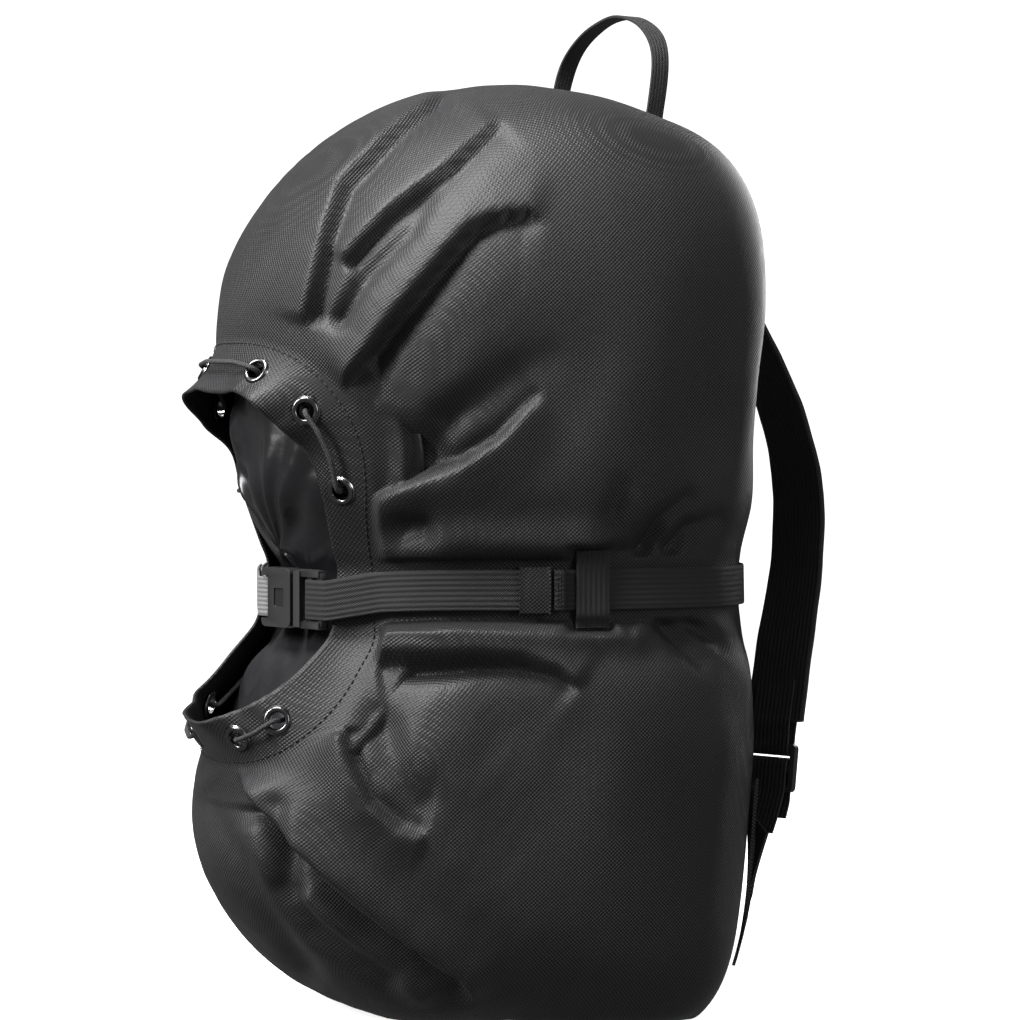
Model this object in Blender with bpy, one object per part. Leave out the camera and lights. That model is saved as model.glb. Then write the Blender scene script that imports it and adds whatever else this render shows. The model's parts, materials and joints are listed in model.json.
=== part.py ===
"""Compression sack with shoulder straps: a stuffed fabric sack whose front mouth is gathered by a
drawcord through eyelets, squeezed at the waist by a webbing strap with a side-release buckle.

Frame: +Z up, +Y towards the wearer's back, -Y is the front with the mouth, +X is the buckle-tail side.
The origin is on the ground under the middle of the sack. Metres.
"""

import math

import bmesh
import bpy
import numpy as np
from mathutils import Matrix, Vector

# ---- driving dimensions --------------------------------------------------------------------------

TOP_Z = 0.472  # highest point of the stuffed sack
TOP_SLOPE = 0.14  # the top falls towards the back by this much per metre
CROWN_Z = 0.33  # the top starts to round over here
FOOT_Z = 0.12  # the bottom starts to round under here
FOOT_DEPTH = 0.012  # the rounded bottom would reach this far below the ground, which flattens it
CORE = Vector((0.0, 0.0, 0.219))  # rays from here, in the middle of the waist, meet the skin once
WALL = 0.003  # modelled thickness of the sack's cloth, hem and lining

WAIST_Z = 0.221  # height of the compression strap
WAIST_DIP = 0.007  # the strap hangs this much lower at the front
WAIST_DIP_REACH = 0.06
FRONT_ARC_R = 0.10  # the strap's path in plan is made of arcs
FRONT_ARC_Y = -0.0136
FRONT_ARC_HALF = math.radians(40)
SIDE_ARC_R = 0.18
BACK_CORNER_R = 0.045
BACK_ARC_R = 0.40
BACK_ARC_Y = 0.110  # the strap's path crosses the middle of the back here
STRAP_TO_SKIN = 0.0024
PAD_AT_WAIST = 0.0055  # extra room under the strap for the back pad

MOUTH_Z = 0.238
MOUTH_HALF_X = 0.080  # the hem is stitched along this rounded oblong
MOUTH_HALF_Z = 0.107
MOUTH_POWER = 3.2
MOUTH_SQUEEZE = 0.26  # the strap narrows the mouth by this share
HEM_W = 0.024
HEM_FLARE_TOP = 0.016  # the hem's edge stands forward of the skin by this much
HEM_FLARE_BOTTOM = 0.022
HEM_ROWS = 3
LINING_OVERLAP = 0.012  # the lining reaches this far past the stitch line, behind the sack's wall
LINING_DEPTH = 0.0102
LINING_OPEN = 0.6  # the lining bulges inside this share of its outline
LINING_BULGE = 0.0075
EYELET_INSET = 0.0105  # from the hem's edge to an eyelet's centre
EYELET_ANGLES = (72, 40, 10, -54, -75, -97, -128, 171, 140, 104)  # round the mouth, 0 is +X, 90 is up
EYELET_FLANGE_R = 0.0074
EYELET_BARREL_R = 0.0052
EYELET_HOLE_R = 0.0042
CORD_R = 0.00125
CORD_LIFT = 0.0052  # from the hem's middle to the cord lying over or behind an eyelet
CORD_BEND = 0.0030
CORD_LEAN = 0.0018
CORD_TAIL = 0.020  # the cord's ends reach this far past the cord lock
CORD_GAP = 0.0016  # half the distance between the two cord ends in the cord lock
LOCK_AT = (-0.101, 0.272)
LOCK_R = 0.0074
LOCK_TRAVEL = 0.003
LOCK_WALL = 0.0018
LOCK_BOTTOM = -0.009  # along the lock's axis, from its slot
LOCK_TOP = 0.008
BUTTON_BOTTOM = -0.0032
BUTTON_TOP = 0.0132
SPRING_R = 0.0034
SPRING_WIRE_R = 0.00028
SPRING_SPAN = (-0.0069, -0.0038)
SPRING_TURNS = 4

WEBBING_W = 0.020
WEBBING_T = 0.0013
LAYER_H = 0.0019  # height of the strap's second layer over its first
TAIL_END = 20.3  # degrees before +X, round the side arc's centre, where the strap's folded end lies
TAIL_FOLD = 0.0062
SLEEVE_SPAN = (27.6, 22.8)  # the same, for the tail keeper
KEEPER_SPAN = (18.8, 13.4)  # the same, for the webbing loop sewn to the side
BUCKLE_AT = 0.0175  # along the strap's path from the front's middle, towards +X
BUCKLE_LIFT = 0.0032
BAR_AT = 0.0128  # the ladder bar's near edge, from the buckle's middle
FEMALE_BAR_AT = -0.0218
BAR_TURN = 0.00215  # radius of the webbing's middle round a bar
WEBBING_CLEAR = 0.0295  # the webbing leaves the buckle level, this far from the buckle's middle
BUCKLE_END = 0.0245
BUCKLE_HALF_W = 0.0150
SOCKET_HALF_T = 0.0040
SOCKET_MOUTH = 0.0010
SOCKET_HALF_H = 0.0122
WINDOW = (-0.0168, -0.0042)  # along the buckle, where the prongs show at its sides
SLOT_HALF_W = 0.0108
TAB_HALF_T = 0.0012
RAIL_HALF_T = 0.0026
PRONG_HALF_T = 0.0019
PRONG_PIVOT = (0.0026, 0.0095)
FAR_LAP = 0.050  # the long strap ends this far round the far side, under the short webbing

SHOULDER_W = 0.038
SHOULDER_T = 0.0028
LOWER_W = 0.025
HANDLE_W = 0.010
HANDLE_T = 0.0016
HANDLE_HALF = 0.053
HANDLE_Y = 0.072
HANDLE_LEAN = 0.010
HANDLE_TOP = 0.515
HANDLE_LIFT = 0.0030  # its feet start this far over the cloth, which leaves them room to fold
SHOULDER_ROUTE = (
    (0.052, 0.1220, 0.378), (0.057, 0.1215, 0.358), (0.063, 0.1305, 0.334), (0.068, 0.1415, 0.305),
    (0.073, 0.1475, 0.268), (0.079, 0.1430, 0.228), (0.085, 0.1330, 0.192)
)
LADDER_AT = Vector((0.096, 0.1170, 0.126))
LADDER_ACROSS = (-0.95, -0.31, 0.0)
LADDER_UP = (-0.10, 0.10, 1.0)
LADDER_T = 0.003
# along the ladder lock's frame: where the lower webbing's free end and its sewn part lie
LOWER_TAIL = ((-0.026, -0.002), (-0.018, 0.0), (-0.009, 0.0))
LOWER_DRIFT = ((-0.012, 0.0), (-0.018, 0.0014), (-0.025, 0.0034), (-0.034, 0.0066))
WING_T = 0.0022
WING_THETA = math.radians(41)
WING_SEAM = (0.122, 0.026)
COVER_T = 0.0013

# degrees of the skin's lines, closest along the strap
QUADRANT = (0, 5, 10, 16, 24, 33, 43, 54, 66, 78)
SKIN_ROWS = 20

# height: size of the section there against the waist's section, at the front, the sides and the back
SECTION = (
    (0.000, 1.24, 1.00, 0.88),
    (0.050, 1.33, 1.06, 0.93),
    (0.100, 1.37, 1.09, 0.97),
    (0.150, 1.30, 1.10, 1.00),
    (0.178, 1.14, 1.07, 1.00),
    (0.198, 1.01, 1.01, 1.00),
    (0.206, 1.00, 1.00, 1.00),
    (0.221, 1.00, 1.00, 1.00),
    (0.230, 1.00, 1.00, 1.00),
    (0.240, 1.04, 1.01, 1.00),
    (0.262, 1.13, 1.06, 1.01),
    (0.300, 1.23, 1.09, 1.04),
    (0.350, 1.28, 1.10, 1.06),
    (0.420, 1.28, 1.10, 1.07),
    (0.480, 1.25, 1.08, 1.07),
)

# height: thickness of the pad there
PAD_PROFILE = (
    (0.020, 0.0026),
    (0.030, 0.0070),
    (0.050, 0.0130),
    (0.090, 0.0110),
    (0.130, 0.0075),
    (0.165, 0.0085),
    (0.192, 0.0070),
    (0.206, 0.0048),
    (0.236, 0.0048),
    (0.252, 0.0070),
    (0.300, 0.0090),
    (0.380, 0.0090),
    (0.408, 0.0065),
    (0.418, 0.0028),
)
PAD_HALF_X = 0.074


# ---- small helpers -------------------------------------------------------------------------------


def clear_scene():
    for obj in list(bpy.data.objects):
        bpy.data.objects.remove(obj, do_unlink=True)


def material(name, colour, roughness, metallic=0.0):
    made = bpy.data.materials.get(name) or bpy.data.materials.new(name)
    made.use_nodes = True
    shader = made.node_tree.nodes["Principled BSDF"]
    shader.inputs["Base Color"].default_value = (*colour, 1.0)
    shader.inputs["Roughness"].default_value = roughness
    shader.inputs["Metallic"].default_value = metallic
    return made


def sack_cloth():
    return material("sack_cloth", (0.030, 0.030, 0.032), 0.62)


def lining_cloth():
    return material("lining_cloth", (0.012, 0.012, 0.014), 0.28)


def webbing_black():
    return material("webbing_black", (0.016, 0.016, 0.017), 0.7)


def webbing_grey():
    return material("webbing_grey", (0.22, 0.22, 0.22), 0.7)


def pad_cloth():
    return material("pad_cloth", (0.020, 0.020, 0.022), 0.8)


def foam():
    return material("foam", (0.10, 0.10, 0.10), 0.9)


def buckle_plastic():
    return material("buckle_plastic", (0.018, 0.018, 0.019), 0.38)


def eyelet_metal():
    return material("eyelet_metal", (0.05, 0.05, 0.05), 0.22, 1.0)


def cord_black():
    return material("cord_black", (0.02, 0.02, 0.021), 0.75)


def spring_steel():
    return material("spring_steel", (0.5, 0.5, 0.5), 0.3, 1.0)


def smooth_table(rows, at, column):
    """Value of a table's column at a height, on a smooth curve through its rows."""
    rows = np.array(rows, float)
    x, y = rows[:, 0], rows[:, column]
    slope = np.gradient(y, x)
    at = np.clip(np.asarray(at, float), x[0], x[-1])
    i = np.clip(np.searchsorted(x, at, side="right") - 1, 0, len(x) - 2)
    h = x[i + 1] - x[i]
    t = (at - x[i]) / h
    a = (2 * t**3 - 3 * t**2 + 1) * y[i] + (t**3 - 2 * t**2 + t) * h * slope[i]
    b = (3 * t**2 - 2 * t**3) * y[i + 1] + (t**3 - t**2) * h * slope[i + 1]
    return a + b


def smoothstep(low, high, value):
    t = np.clip((np.asarray(value, float) - low) / (high - low), 0, 1)
    return t * t * (3 - 2 * t)


def spline(points, step):
    """Evenly spaced points on a smooth curve through the given points."""
    points = [Vector(p) for p in points]
    ends = [points[0] * 2 - points[1], *points, points[-1] * 2 - points[-2]]
    dense = []
    for a, b, c, d in zip(ends, ends[1:], ends[2:], ends[3:]):
        for k in range(16):
            t = k / 16
            dense.append(
                0.5 * (2 * b + (c - a) * t + (2 * a - 5 * b + 4 * c - d) * t * t
                       + (3 * b - a - 3 * c + d) * t**3)
            )
    dense.append(points[-1])
    return even(dense, step)


def even(points, step):
    """The same polyline with evenly spaced points."""
    p = np.array([list(q) for q in points])
    along = np.concatenate([[0], np.cumsum(np.linalg.norm(np.diff(p, axis=0), axis=1))])
    count = max(2, round(along[-1] / step) + 1)
    at = np.linspace(0, along[-1], count)
    return [Vector([np.interp(s, along, p[:, k]) for k in range(3)]) for s in at]


def add_mesh(name, verts, faces, mat, smooth_angle=35):
    mesh = bpy.data.meshes.new(name)
    mesh.from_pydata([tuple(v) for v in verts], [], faces)
    bm = bmesh.new()
    bm.from_mesh(mesh)
    bmesh.ops.recalc_face_normals(bm, faces=bm.faces)
    bm.to_mesh(mesh)
    bm.free()
    obj = bpy.data.objects.new(name, mesh)
    bpy.context.scene.collection.objects.link(obj)
    mesh.materials.append(mat)
    mesh.shade_smooth()
    mesh.set_sharp_from_angle(angle=math.radians(smooth_angle))
    return obj


def tidy_origin(obj, pivot):
    """Puts the object's origin on its joint's axis without moving its shape."""
    obj.data.transform(Matrix.Translation(-Vector(pivot)))
    obj.location = pivot


def ribbon(name, path, across, width, thick, mat):
    """A flat strip: path is its centreline, across gives the width's direction at each point."""
    path = [Vector(p) for p in path]
    verts, last = [], len(path) - 1
    for i, p in enumerate(path):
        along = (path[min(i + 1, last)] - path[max(i - 1, 0)]).normalized()
        side = Vector(across(i / last) if callable(across) else across)
        side = (side - along * side.dot(along)).normalized()
        up = along.cross(side)
        for s, u in ((-1, -1), (1, -1), (1, 1), (-1, 1)):
            verts.append(p + side * (s * width / 2) + up * (u * thick / 2))
    faces = []
    for i in range(last):
        a, b = 4 * i, 4 * i + 4
        for k in range(4):
            j = (k + 1) % 4
            faces.append((a + k, a + j, b + j, b + k))
    faces.append((3, 2, 1, 0))
    faces.append(tuple(4 * last + k for k in range(4)))
    return add_mesh(name, verts, faces, mat)


def tube(name, points, radius, mat):
    """A round cord along the points, with filled ends."""
    curve = bpy.data.curves.new(name, "CURVE")
    curve.dimensions = "3D"
    line = curve.splines.new("POLY")
    line.points.add(len(points) - 1)
    for point, p in zip(line.points, points):
        point.co = (*p, 1)
    curve.bevel_depth = radius
    curve.bevel_resolution = 1
    curve.use_fill_caps = True
    curve.materials.append(mat)
    obj = bpy.data.objects.new(name, curve)
    bpy.context.scene.collection.objects.link(obj)
    return obj


def turned(name, profile, frame, mat, steps=16):
    """A ring turned from a closed profile of (radius, height) about the frame's Z axis."""
    verts = []
    for k in range(steps):
        a = 2 * math.pi * k / steps
        verts += [Vector((r * math.cos(a), r * math.sin(a), h)) for r, h in profile]
    n = len(profile)
    faces = []
    for k in range(steps):
        a, b = k * n, ((k + 1) % steps) * n
        for i in range(n):
            j = (i + 1) % n
            faces.append((a + i, b + i, b + j, a + j))
    obj = add_mesh(name, verts, faces, mat)
    obj.matrix_world = frame
    return obj


def rounded(l0, l1, v0, v1, r, steps=4):
    """Outline of a rectangle with round corners."""
    corners = ((l1 - r, v1 - r, 0), (l0 + r, v1 - r, 90), (l0 + r, v0 + r, 180), (l1 - r, v0 + r, 270))
    points = []
    for cx, cy, start in corners:
        for k in range(steps + 1):
            a = math.radians(start + 90 * k / steps)
            points.append((cx + r * math.cos(a), cy + r * math.sin(a)))
    return points


def plate(name, outline, holes, low, high, mat):
    """A flat plate in the local XY plane, from height low to high, with holes through it."""
    bm = bmesh.new()
    edges = []
    for loop in (outline, *holes):
        ring = [bm.verts.new((x, y, low)) for x, y in loop]
        edges += [bm.edges.new((a, b)) for a, b in zip(ring, ring[1:] + ring[:1])]
    bmesh.ops.triangle_fill(bm, use_beauty=True, use_dissolve=False, edges=edges)
    grown = bmesh.ops.extrude_face_region(bm, geom=list(bm.faces))
    lifted = [g for g in grown["geom"] if isinstance(g, bmesh.types.BMVert)]
    bmesh.ops.translate(bm, verts=lifted, vec=(0, 0, high - low))
    bmesh.ops.recalc_face_normals(bm, faces=bm.faces)
    mesh = bpy.data.meshes.new(name)
    bm.to_mesh(mesh)
    bm.free()
    mesh.materials.append(mat)
    mesh.shade_smooth()
    mesh.set_sharp_from_angle(angle=math.radians(30))
    obj = bpy.data.objects.new(name, mesh)
    bpy.context.scene.collection.objects.link(obj)
    return obj


def block(name, low, high, mat=None):
    """A plain box, mostly used as a cutter."""
    (x0, y0, z0), (x1, y1, z1) = low, high
    return plate(name, [(x0, y0), (x1, y0), (x1, y1), (x0, y1)], (), z0, z1, mat or buckle_plastic())


def combine(obj, other, operation):
    """Cuts or joins another object, which then counts as a hidden helper."""
    modifier = obj.modifiers.new(operation.lower(), "BOOLEAN")
    modifier.operation = operation
    modifier.object = other
    other.hide_render = True
    other.display_type = "WIRE"
    other.matrix_world = obj.matrix_world @ other.matrix_world
    other.parent = None


def cut(obj, name, low, high):
    combine(obj, block(name, low, high), "DIFFERENCE")


def join(obj, name, low, high):
    combine(obj, block(name, low, high), "UNION")


# ---- the strap's path in plan --------------------------------------------------------------------


def side_arc_centre():
    reach = SIDE_ARC_R - FRONT_ARC_R
    x = -reach * math.sin(FRONT_ARC_HALF)
    y = FRONT_ARC_Y + reach * math.cos(FRONT_ARC_HALF)
    return x, y


def corner_centre():
    """Centre of the back corner's arc, inside both the side arc and the back arc."""
    sx, sy = side_arc_centre()
    a, b = SIDE_ARC_R - BACK_CORNER_R, BACK_ARC_R - BACK_CORNER_R
    back = Vector((0, BACK_ARC_Y - BACK_ARC_R))
    side = Vector((sx, sy))
    gap = back - side
    along = (a * a - b * b + gap.length_squared) / (2 * gap.length)
    off = math.sqrt(a * a - along * along)
    unit = gap.normalized()
    found = [side + unit * along + Vector((-unit.y, unit.x)) * off * s for s in (1, -1)]
    return max(found, key=lambda c: c.x + c.y)


def arc(cx, cy, r, start, end, step=math.radians(1.5)):
    count = max(2, math.ceil(abs(end - start) / step))
    angles = [start + (end - start) * k / count for k in range(count)]
    return [(cx + r * math.cos(a), cy + r * math.sin(a)) for a in angles]


def half_path():
    """The path from the front's middle round +X to the back's middle."""
    sx, sy = side_arc_centre()
    c = corner_centre()
    meet_side = math.atan2(c.y - sy, c.x - sx)
    meet_back = math.atan2(c.y - (BACK_ARC_Y - BACK_ARC_R), c.x)
    points = arc(0, FRONT_ARC_Y, FRONT_ARC_R, -math.pi / 2, -math.pi / 2 + FRONT_ARC_HALF)
    points += arc(sx, sy, SIDE_ARC_R, -math.pi / 2 + FRONT_ARC_HALF, meet_side)
    points += arc(c.x, c.y, BACK_CORNER_R, meet_side, meet_back)
    points += arc(0, BACK_ARC_Y - BACK_ARC_R, BACK_ARC_R, meet_back, math.pi / 2)
    return [*points, (0.0, BACK_ARC_Y)]


HALF = np.array(half_path())
HALF_ALONG = np.concatenate([[0], np.cumsum(np.linalg.norm(np.diff(HALF, axis=0), axis=1))])


def waist_radius(theta):
    """Distance from the middle to the sack's skin at the waist, in the direction theta."""
    angle = np.arctan2(HALF[:, 1], HALF[:, 0])
    radius = np.hypot(HALF[:, 0], HALF[:, 1])
    theta = np.asarray(theta, float)
    mirrored = np.arctan2(np.sin(theta), np.abs(np.cos(theta)))
    pad = PAD_AT_WAIST * smoothstep(0.70, 0.88, np.sin(theta))
    return np.interp(mirrored, angle, radius) - STRAP_TO_SKIN - pad


def strap_point(along, height=0.0):
    """Point on the strap's path, this far along it from the front's middle and this high over it."""
    at = abs(along)
    x, y = (np.interp(at, HALF_ALONG, HALF[:, k]) for k in (0, 1))
    ahead = [np.interp(at + 0.002, HALF_ALONG, HALF[:, k]) for k in (0, 1)]
    behind = [np.interp(at - 0.002, HALF_ALONG, HALF[:, k]) for k in (0, 1)]
    if at < 0.002:
        behind = [-ahead[0], ahead[1]]
    tangent = Vector((ahead[0] - behind[0], ahead[1] - behind[1])).normalized()
    out = Vector((tangent.y, -tangent.x))
    side = 1 if along >= 0 else -1
    dip = WAIST_DIP * math.exp(-((along / WAIST_DIP_REACH) ** 2))
    return Vector((side * (x + out.x * height), y + out.y * height, WAIST_Z - dip))


# ---- the sack's skin -----------------------------------------------------------------------------


def inside(p):
    """Whether each point lies inside the stuffed sack, ground included."""
    x, y, z = p[..., 0], p[..., 1], p[..., 2]
    theta = np.arctan2(y, x)
    front = np.clip(-np.sin(theta), 0, 1) ** 2
    back = np.clip(np.sin(theta), 0, 1) ** 2
    side = 1 - front - back
    scale = sum(w * smooth_table(SECTION, z, k) for w, k in ((front, 1), (side, 2), (back, 3)))
    lateral = np.hypot(x, y) / (waist_radius(theta) * scale)
    top = TOP_Z - TOP_SLOPE * np.clip(y, 0, None)
    rise = np.clip((z - CROWN_Z) / (top - CROWN_Z), 0, None)
    sink = np.clip((FOOT_Z - z) / (FOOT_Z + FOOT_DEPTH), 0, None)
    backness = 0.5 * (1 + np.sin(theta))
    power = np.where(z > WAIST_Z, 1.85 + 2.4 * backness, 2.3 + 5.0 * backness)
    return (lateral**power + np.maximum(rise, sink) ** power < 1) & (z > 0)


def reach(starts, directions, most=0.45):
    """How far along each direction the skin lies."""
    low, high = np.zeros(len(directions)), np.full(len(directions), most)
    for _ in range(34):
        middle = (low + high) / 2
        is_in = inside(starts + directions * middle[:, None])
        low, high = np.where(is_in, middle, low), np.where(is_in, high, middle)
    return low


def front_y(x, z):
    """The skin's depth at the front, over the mouth too."""
    start = np.array([[x, 0.0, z]])
    return -float(reach(start, np.array([[0.0, -1.0, 0.0]]))[0])


def back_y(x, z):
    start = np.array([[x, 0.0, z]])
    return float(reach(start, np.array([[0.0, 1.0, 0.0]]))[0])


def mouth_outline(angle, inward=0.0, scale=1.0):
    """X and Z round the mouth: a rounded oblong, narrowed where the strap squeezes it."""
    c, n = math.cos(angle), math.sin(angle)
    x = math.copysign(abs(c) ** (2 / MOUTH_POWER), c) * (MOUTH_HALF_X - inward) * scale
    z = MOUTH_Z + math.copysign(abs(n) ** (2 / MOUTH_POWER), n) * (MOUTH_HALF_Z - inward) * scale
    return x * (1 - MOUTH_SQUEEZE * math.exp(-(((z - WAIST_Z) / 0.05) ** 2))), z


def hem_point(angle, share, lift=0.0):
    """Point on the hem's outer face: share is 0 at its stitch line and 1 at its edge."""
    x, z = mouth_outline(angle, HEM_W * share)
    flare = HEM_FLARE_TOP * float(smoothstep(0.1, 0.9, math.sin(angle)))
    flare += HEM_FLARE_BOTTOM * float(smoothstep(0.35, 1.0, -math.sin(angle)))
    p = Vector((x, front_y(x, z) - flare * share**1.5, z))
    if lift:
        p += hem_normal(angle, share) * lift
    return p


def hem_normal(angle, share):
    """Outward normal of the hem."""
    round_it = hem_point(angle + 0.03, share) - hem_point(angle - 0.03, share)
    to_edge = hem_point(angle, share + 0.05) - hem_point(angle, share - 0.05)
    return round_it.cross(to_edge).normalized()


def skin_normal(x, z):
    """Outward normal of the front skin."""
    d = 0.004
    dydx = (front_y(x + d, z) - front_y(x - d, z)) / (2 * d)
    dydz = (front_y(x, z + d) - front_y(x, z - d)) / (2 * d)
    return Vector((dydx, -1.0, dydz)).normalized()


def frame_at(origin, axis, hint=(0, 0, 1)):
    """Matrix whose Z axis is axis, placed at origin."""
    z = Vector(axis).normalized()
    x = Vector(hint).cross(z).normalized()
    y = z.cross(x)
    return Matrix.Translation(origin) @ Matrix((x, y, z)).transposed().to_4x4()


def seam_angles():
    """Angles round the mouth at which the skin's lines, even about the core, meet the stitch line."""
    turns = [*QUADRANT, 90, *(180 - q for q in QUADRANT[::-1])]
    turns += [180 + q for q in QUADRANT[1:]] + [270] + [360 - q for q in QUADRANT[:0:-1]]
    fine = np.linspace(-math.pi / 2, 2.5 * math.pi, 3001)
    outline = [mouth_outline(angle) for angle in fine]
    seen = np.unwrap([math.atan2(z - CORE.z, x) for x, z in outline])
    return [float(np.interp(math.radians(turn), seen, fine)) for turn in turns]


def skin_grid():
    """Rings of points from the hem's edge, over its stitch line and the sack, to its back's middle."""
    core = np.array(CORE)
    angles = seam_angles()
    rings = []
    for row in range(HEM_ROWS + 1):
        rings.append(np.array([list(hem_point(a, 1 - row / HEM_ROWS)) for a in angles]))
    seam = [hem_point(a, 0) - CORE for a in angles]
    start = [math.atan2(math.hypot(s.x, s.z), -s.y) for s in seam]
    turn = [math.atan2(s.z, s.x) for s in seam]
    for row in range(1, SKIN_ROWS + 1):
        share = row / (SKIN_ROWS + 1)
        rays = []
        for s, t in zip(start, turn):
            polar = s + (math.pi - s) * share
            wide = math.sin(polar)
            rays.append((wide * math.cos(t), -math.cos(polar), wide * math.sin(t)))
        rays = np.array(rays)
        far = reach(np.tile(core, (len(rays), 1)), rays)
        ring = core + rays * far[:, None]
        ring[:, 2] = np.where(ring[:, 2] < 1e-6, 0, ring[:, 2])
        rings.append(ring)
    return rings


def make_sack():
    """The sack: one skin of cloth with the mouth cut in its front."""
    rings = skin_grid()
    verts = [tuple(p) for ring in rings for p in ring]
    pole = len(verts)
    verts.append((CORE.x, back_y(CORE.x, CORE.z), CORE.z))
    n = len(rings[0])
    faces = []
    for r in range(len(rings) - 1):
        for k in range(n):
            j = (k + 1) % n
            faces.append((r * n + k, r * n + j, (r + 1) * n + j, (r + 1) * n + k))
    last = (len(rings) - 1) * n
    faces += [(last + k, last + (k + 1) % n, pole) for k in range(n)]
    mesh = bpy.data.meshes.new("sack_body")
    mesh.from_pydata(verts, [], faces)
    obj = bpy.data.objects.new("sack_body", mesh)
    bpy.context.scene.collection.objects.link(obj)
    mesh.materials.append(sack_cloth())
    mesh.shade_smooth()
    bm = bmesh.new()
    bm.from_mesh(mesh)
    bmesh.ops.recalc_face_normals(bm, faces=bm.faces)
    if sum(f.normal.dot(f.calc_center_median() - CORE) for f in bm.faces) < 0:
        bmesh.ops.reverse_faces(bm, faces=bm.faces)
    bm.to_mesh(mesh)
    bm.free()
    wall = obj.modifiers.new("wall", "SOLIDIFY")
    wall.thickness = WALL
    wall.offset = -1
    wall.use_even_offset = False
    return obj


def make_lining():
    """The thin inner collar, closed and bulging behind the mouth, squeezed by the strap."""
    rings, count = (0.25, 0.5, 0.7, 0.85, 1.0), 36
    front = []
    for share in (*rings, 0.0):
        for k in range(count if share else 1):
            a = 2 * math.pi * k / count
            x, z = mouth_outline(a, -LINING_OVERLAP, share)
            squeezed = math.exp(-(((z - WAIST_Z + WAIST_DIP) / 0.022) ** 2))
            bulge = LINING_BULGE * max(0.0, 1 - (share / LINING_OPEN) ** 2) * (1 - 0.6 * squeezed)
            lean = max(0.5, -skin_normal(x, z).y)
            front.append((x, front_y(x, z) + LINING_DEPTH / lean - bulge, z))
    rear = [(x, y + WALL, z) for x, y, z in front]
    half, faces = len(front), []
    for side in (0, half):
        faces += [(side + k, side + (k + 1) % count, side + half - 1) for k in range(count)]
        for r in range(len(rings) - 1):
            for k in range(count):
                a, b = side + r * count + k, side + r * count + (k + 1) % count
                faces.append((a, a + count, b + count, b))
    rim = (len(rings) - 1) * count
    for k in range(count):
        j = (k + 1) % count
        faces.append((rim + k, half + rim + k, half + rim + j, rim + j))
    return add_mesh("lining_collar", front + rear, faces, lining_cloth())


# ---- eyelets and drawcord ------------------------------------------------------------------------


def eyelet_frame(degrees):
    angle, share = math.radians(degrees), 1 - EYELET_INSET / HEM_W
    n = hem_normal(angle, share)
    return frame_at(hem_point(angle, share) - n * (WALL / 2), n)


def make_eyelets(sack):
    """Ten metal eyelets, each a spool clamped through the hem, and the hole in the hem for each."""
    h = WALL / 2
    profile = [
        (EYELET_HOLE_R, -h - 0.0009),
        (EYELET_FLANGE_R, -h - 0.0007),
        (EYELET_FLANGE_R, -h - 0.0002),
        (EYELET_BARREL_R, -h),
        (EYELET_BARREL_R, h),
        (EYELET_FLANGE_R, h + 0.0002),
        (EYELET_FLANGE_R, h + 0.0006),
        (EYELET_HOLE_R + 0.0014, h + 0.0013),
        (EYELET_HOLE_R, h + 0.0009),
    ]
    g = 0.0004
    room = [
        (0.0, -h - 0.004),
        (EYELET_FLANGE_R + g, -h - 0.004),
        (EYELET_FLANGE_R + g, -h + g),
        (EYELET_BARREL_R + g, -h + g),
        (EYELET_BARREL_R + g, h - g),
        (EYELET_FLANGE_R + g, h - g),
        (EYELET_FLANGE_R + g, h + 0.004),
        (0.0, h + 0.004),
    ]
    for number, degrees in enumerate(EYELET_ANGLES, 1):
        frame = eyelet_frame(degrees)
        turned(f"eyelet_{number:02d}", profile, frame, eyelet_metal())
        cutter = solid_of_turning(f"eyelet_room_{number:02d}", room, frame)
        modifier = sack.modifiers.new(f"eyelet_{number:02d}", "BOOLEAN")
        modifier.operation = "DIFFERENCE"
        modifier.object = cutter


def solid_of_turning(name, profile, frame, steps=16):
    """A solid turned from a profile whose ends are on the axis. Used as a cutter."""
    inner = profile[1:-1]
    verts = [(0, 0, profile[0][1]), (0, 0, profile[-1][1])]
    for k in range(steps):
        a = 2 * math.pi * k / steps
        verts += [(r * math.cos(a), r * math.sin(a), z) for r, z in inner]
    n, faces = len(inner), []
    for k in range(steps):
        a, b = 2 + k * n, 2 + ((k + 1) % steps) * n
        faces.append((0, a, b))
        faces.append((1, b + n - 1, a + n - 1))
        faces += [(a + i, a + i + 1, b + i + 1, b + i) for i in range(n - 1)]
    obj = add_mesh(name, verts, faces, eyelet_metal())
    obj.matrix_world = frame
    obj.hide_render = True
    obj.display_type = "WIRE"
    return obj


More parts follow.
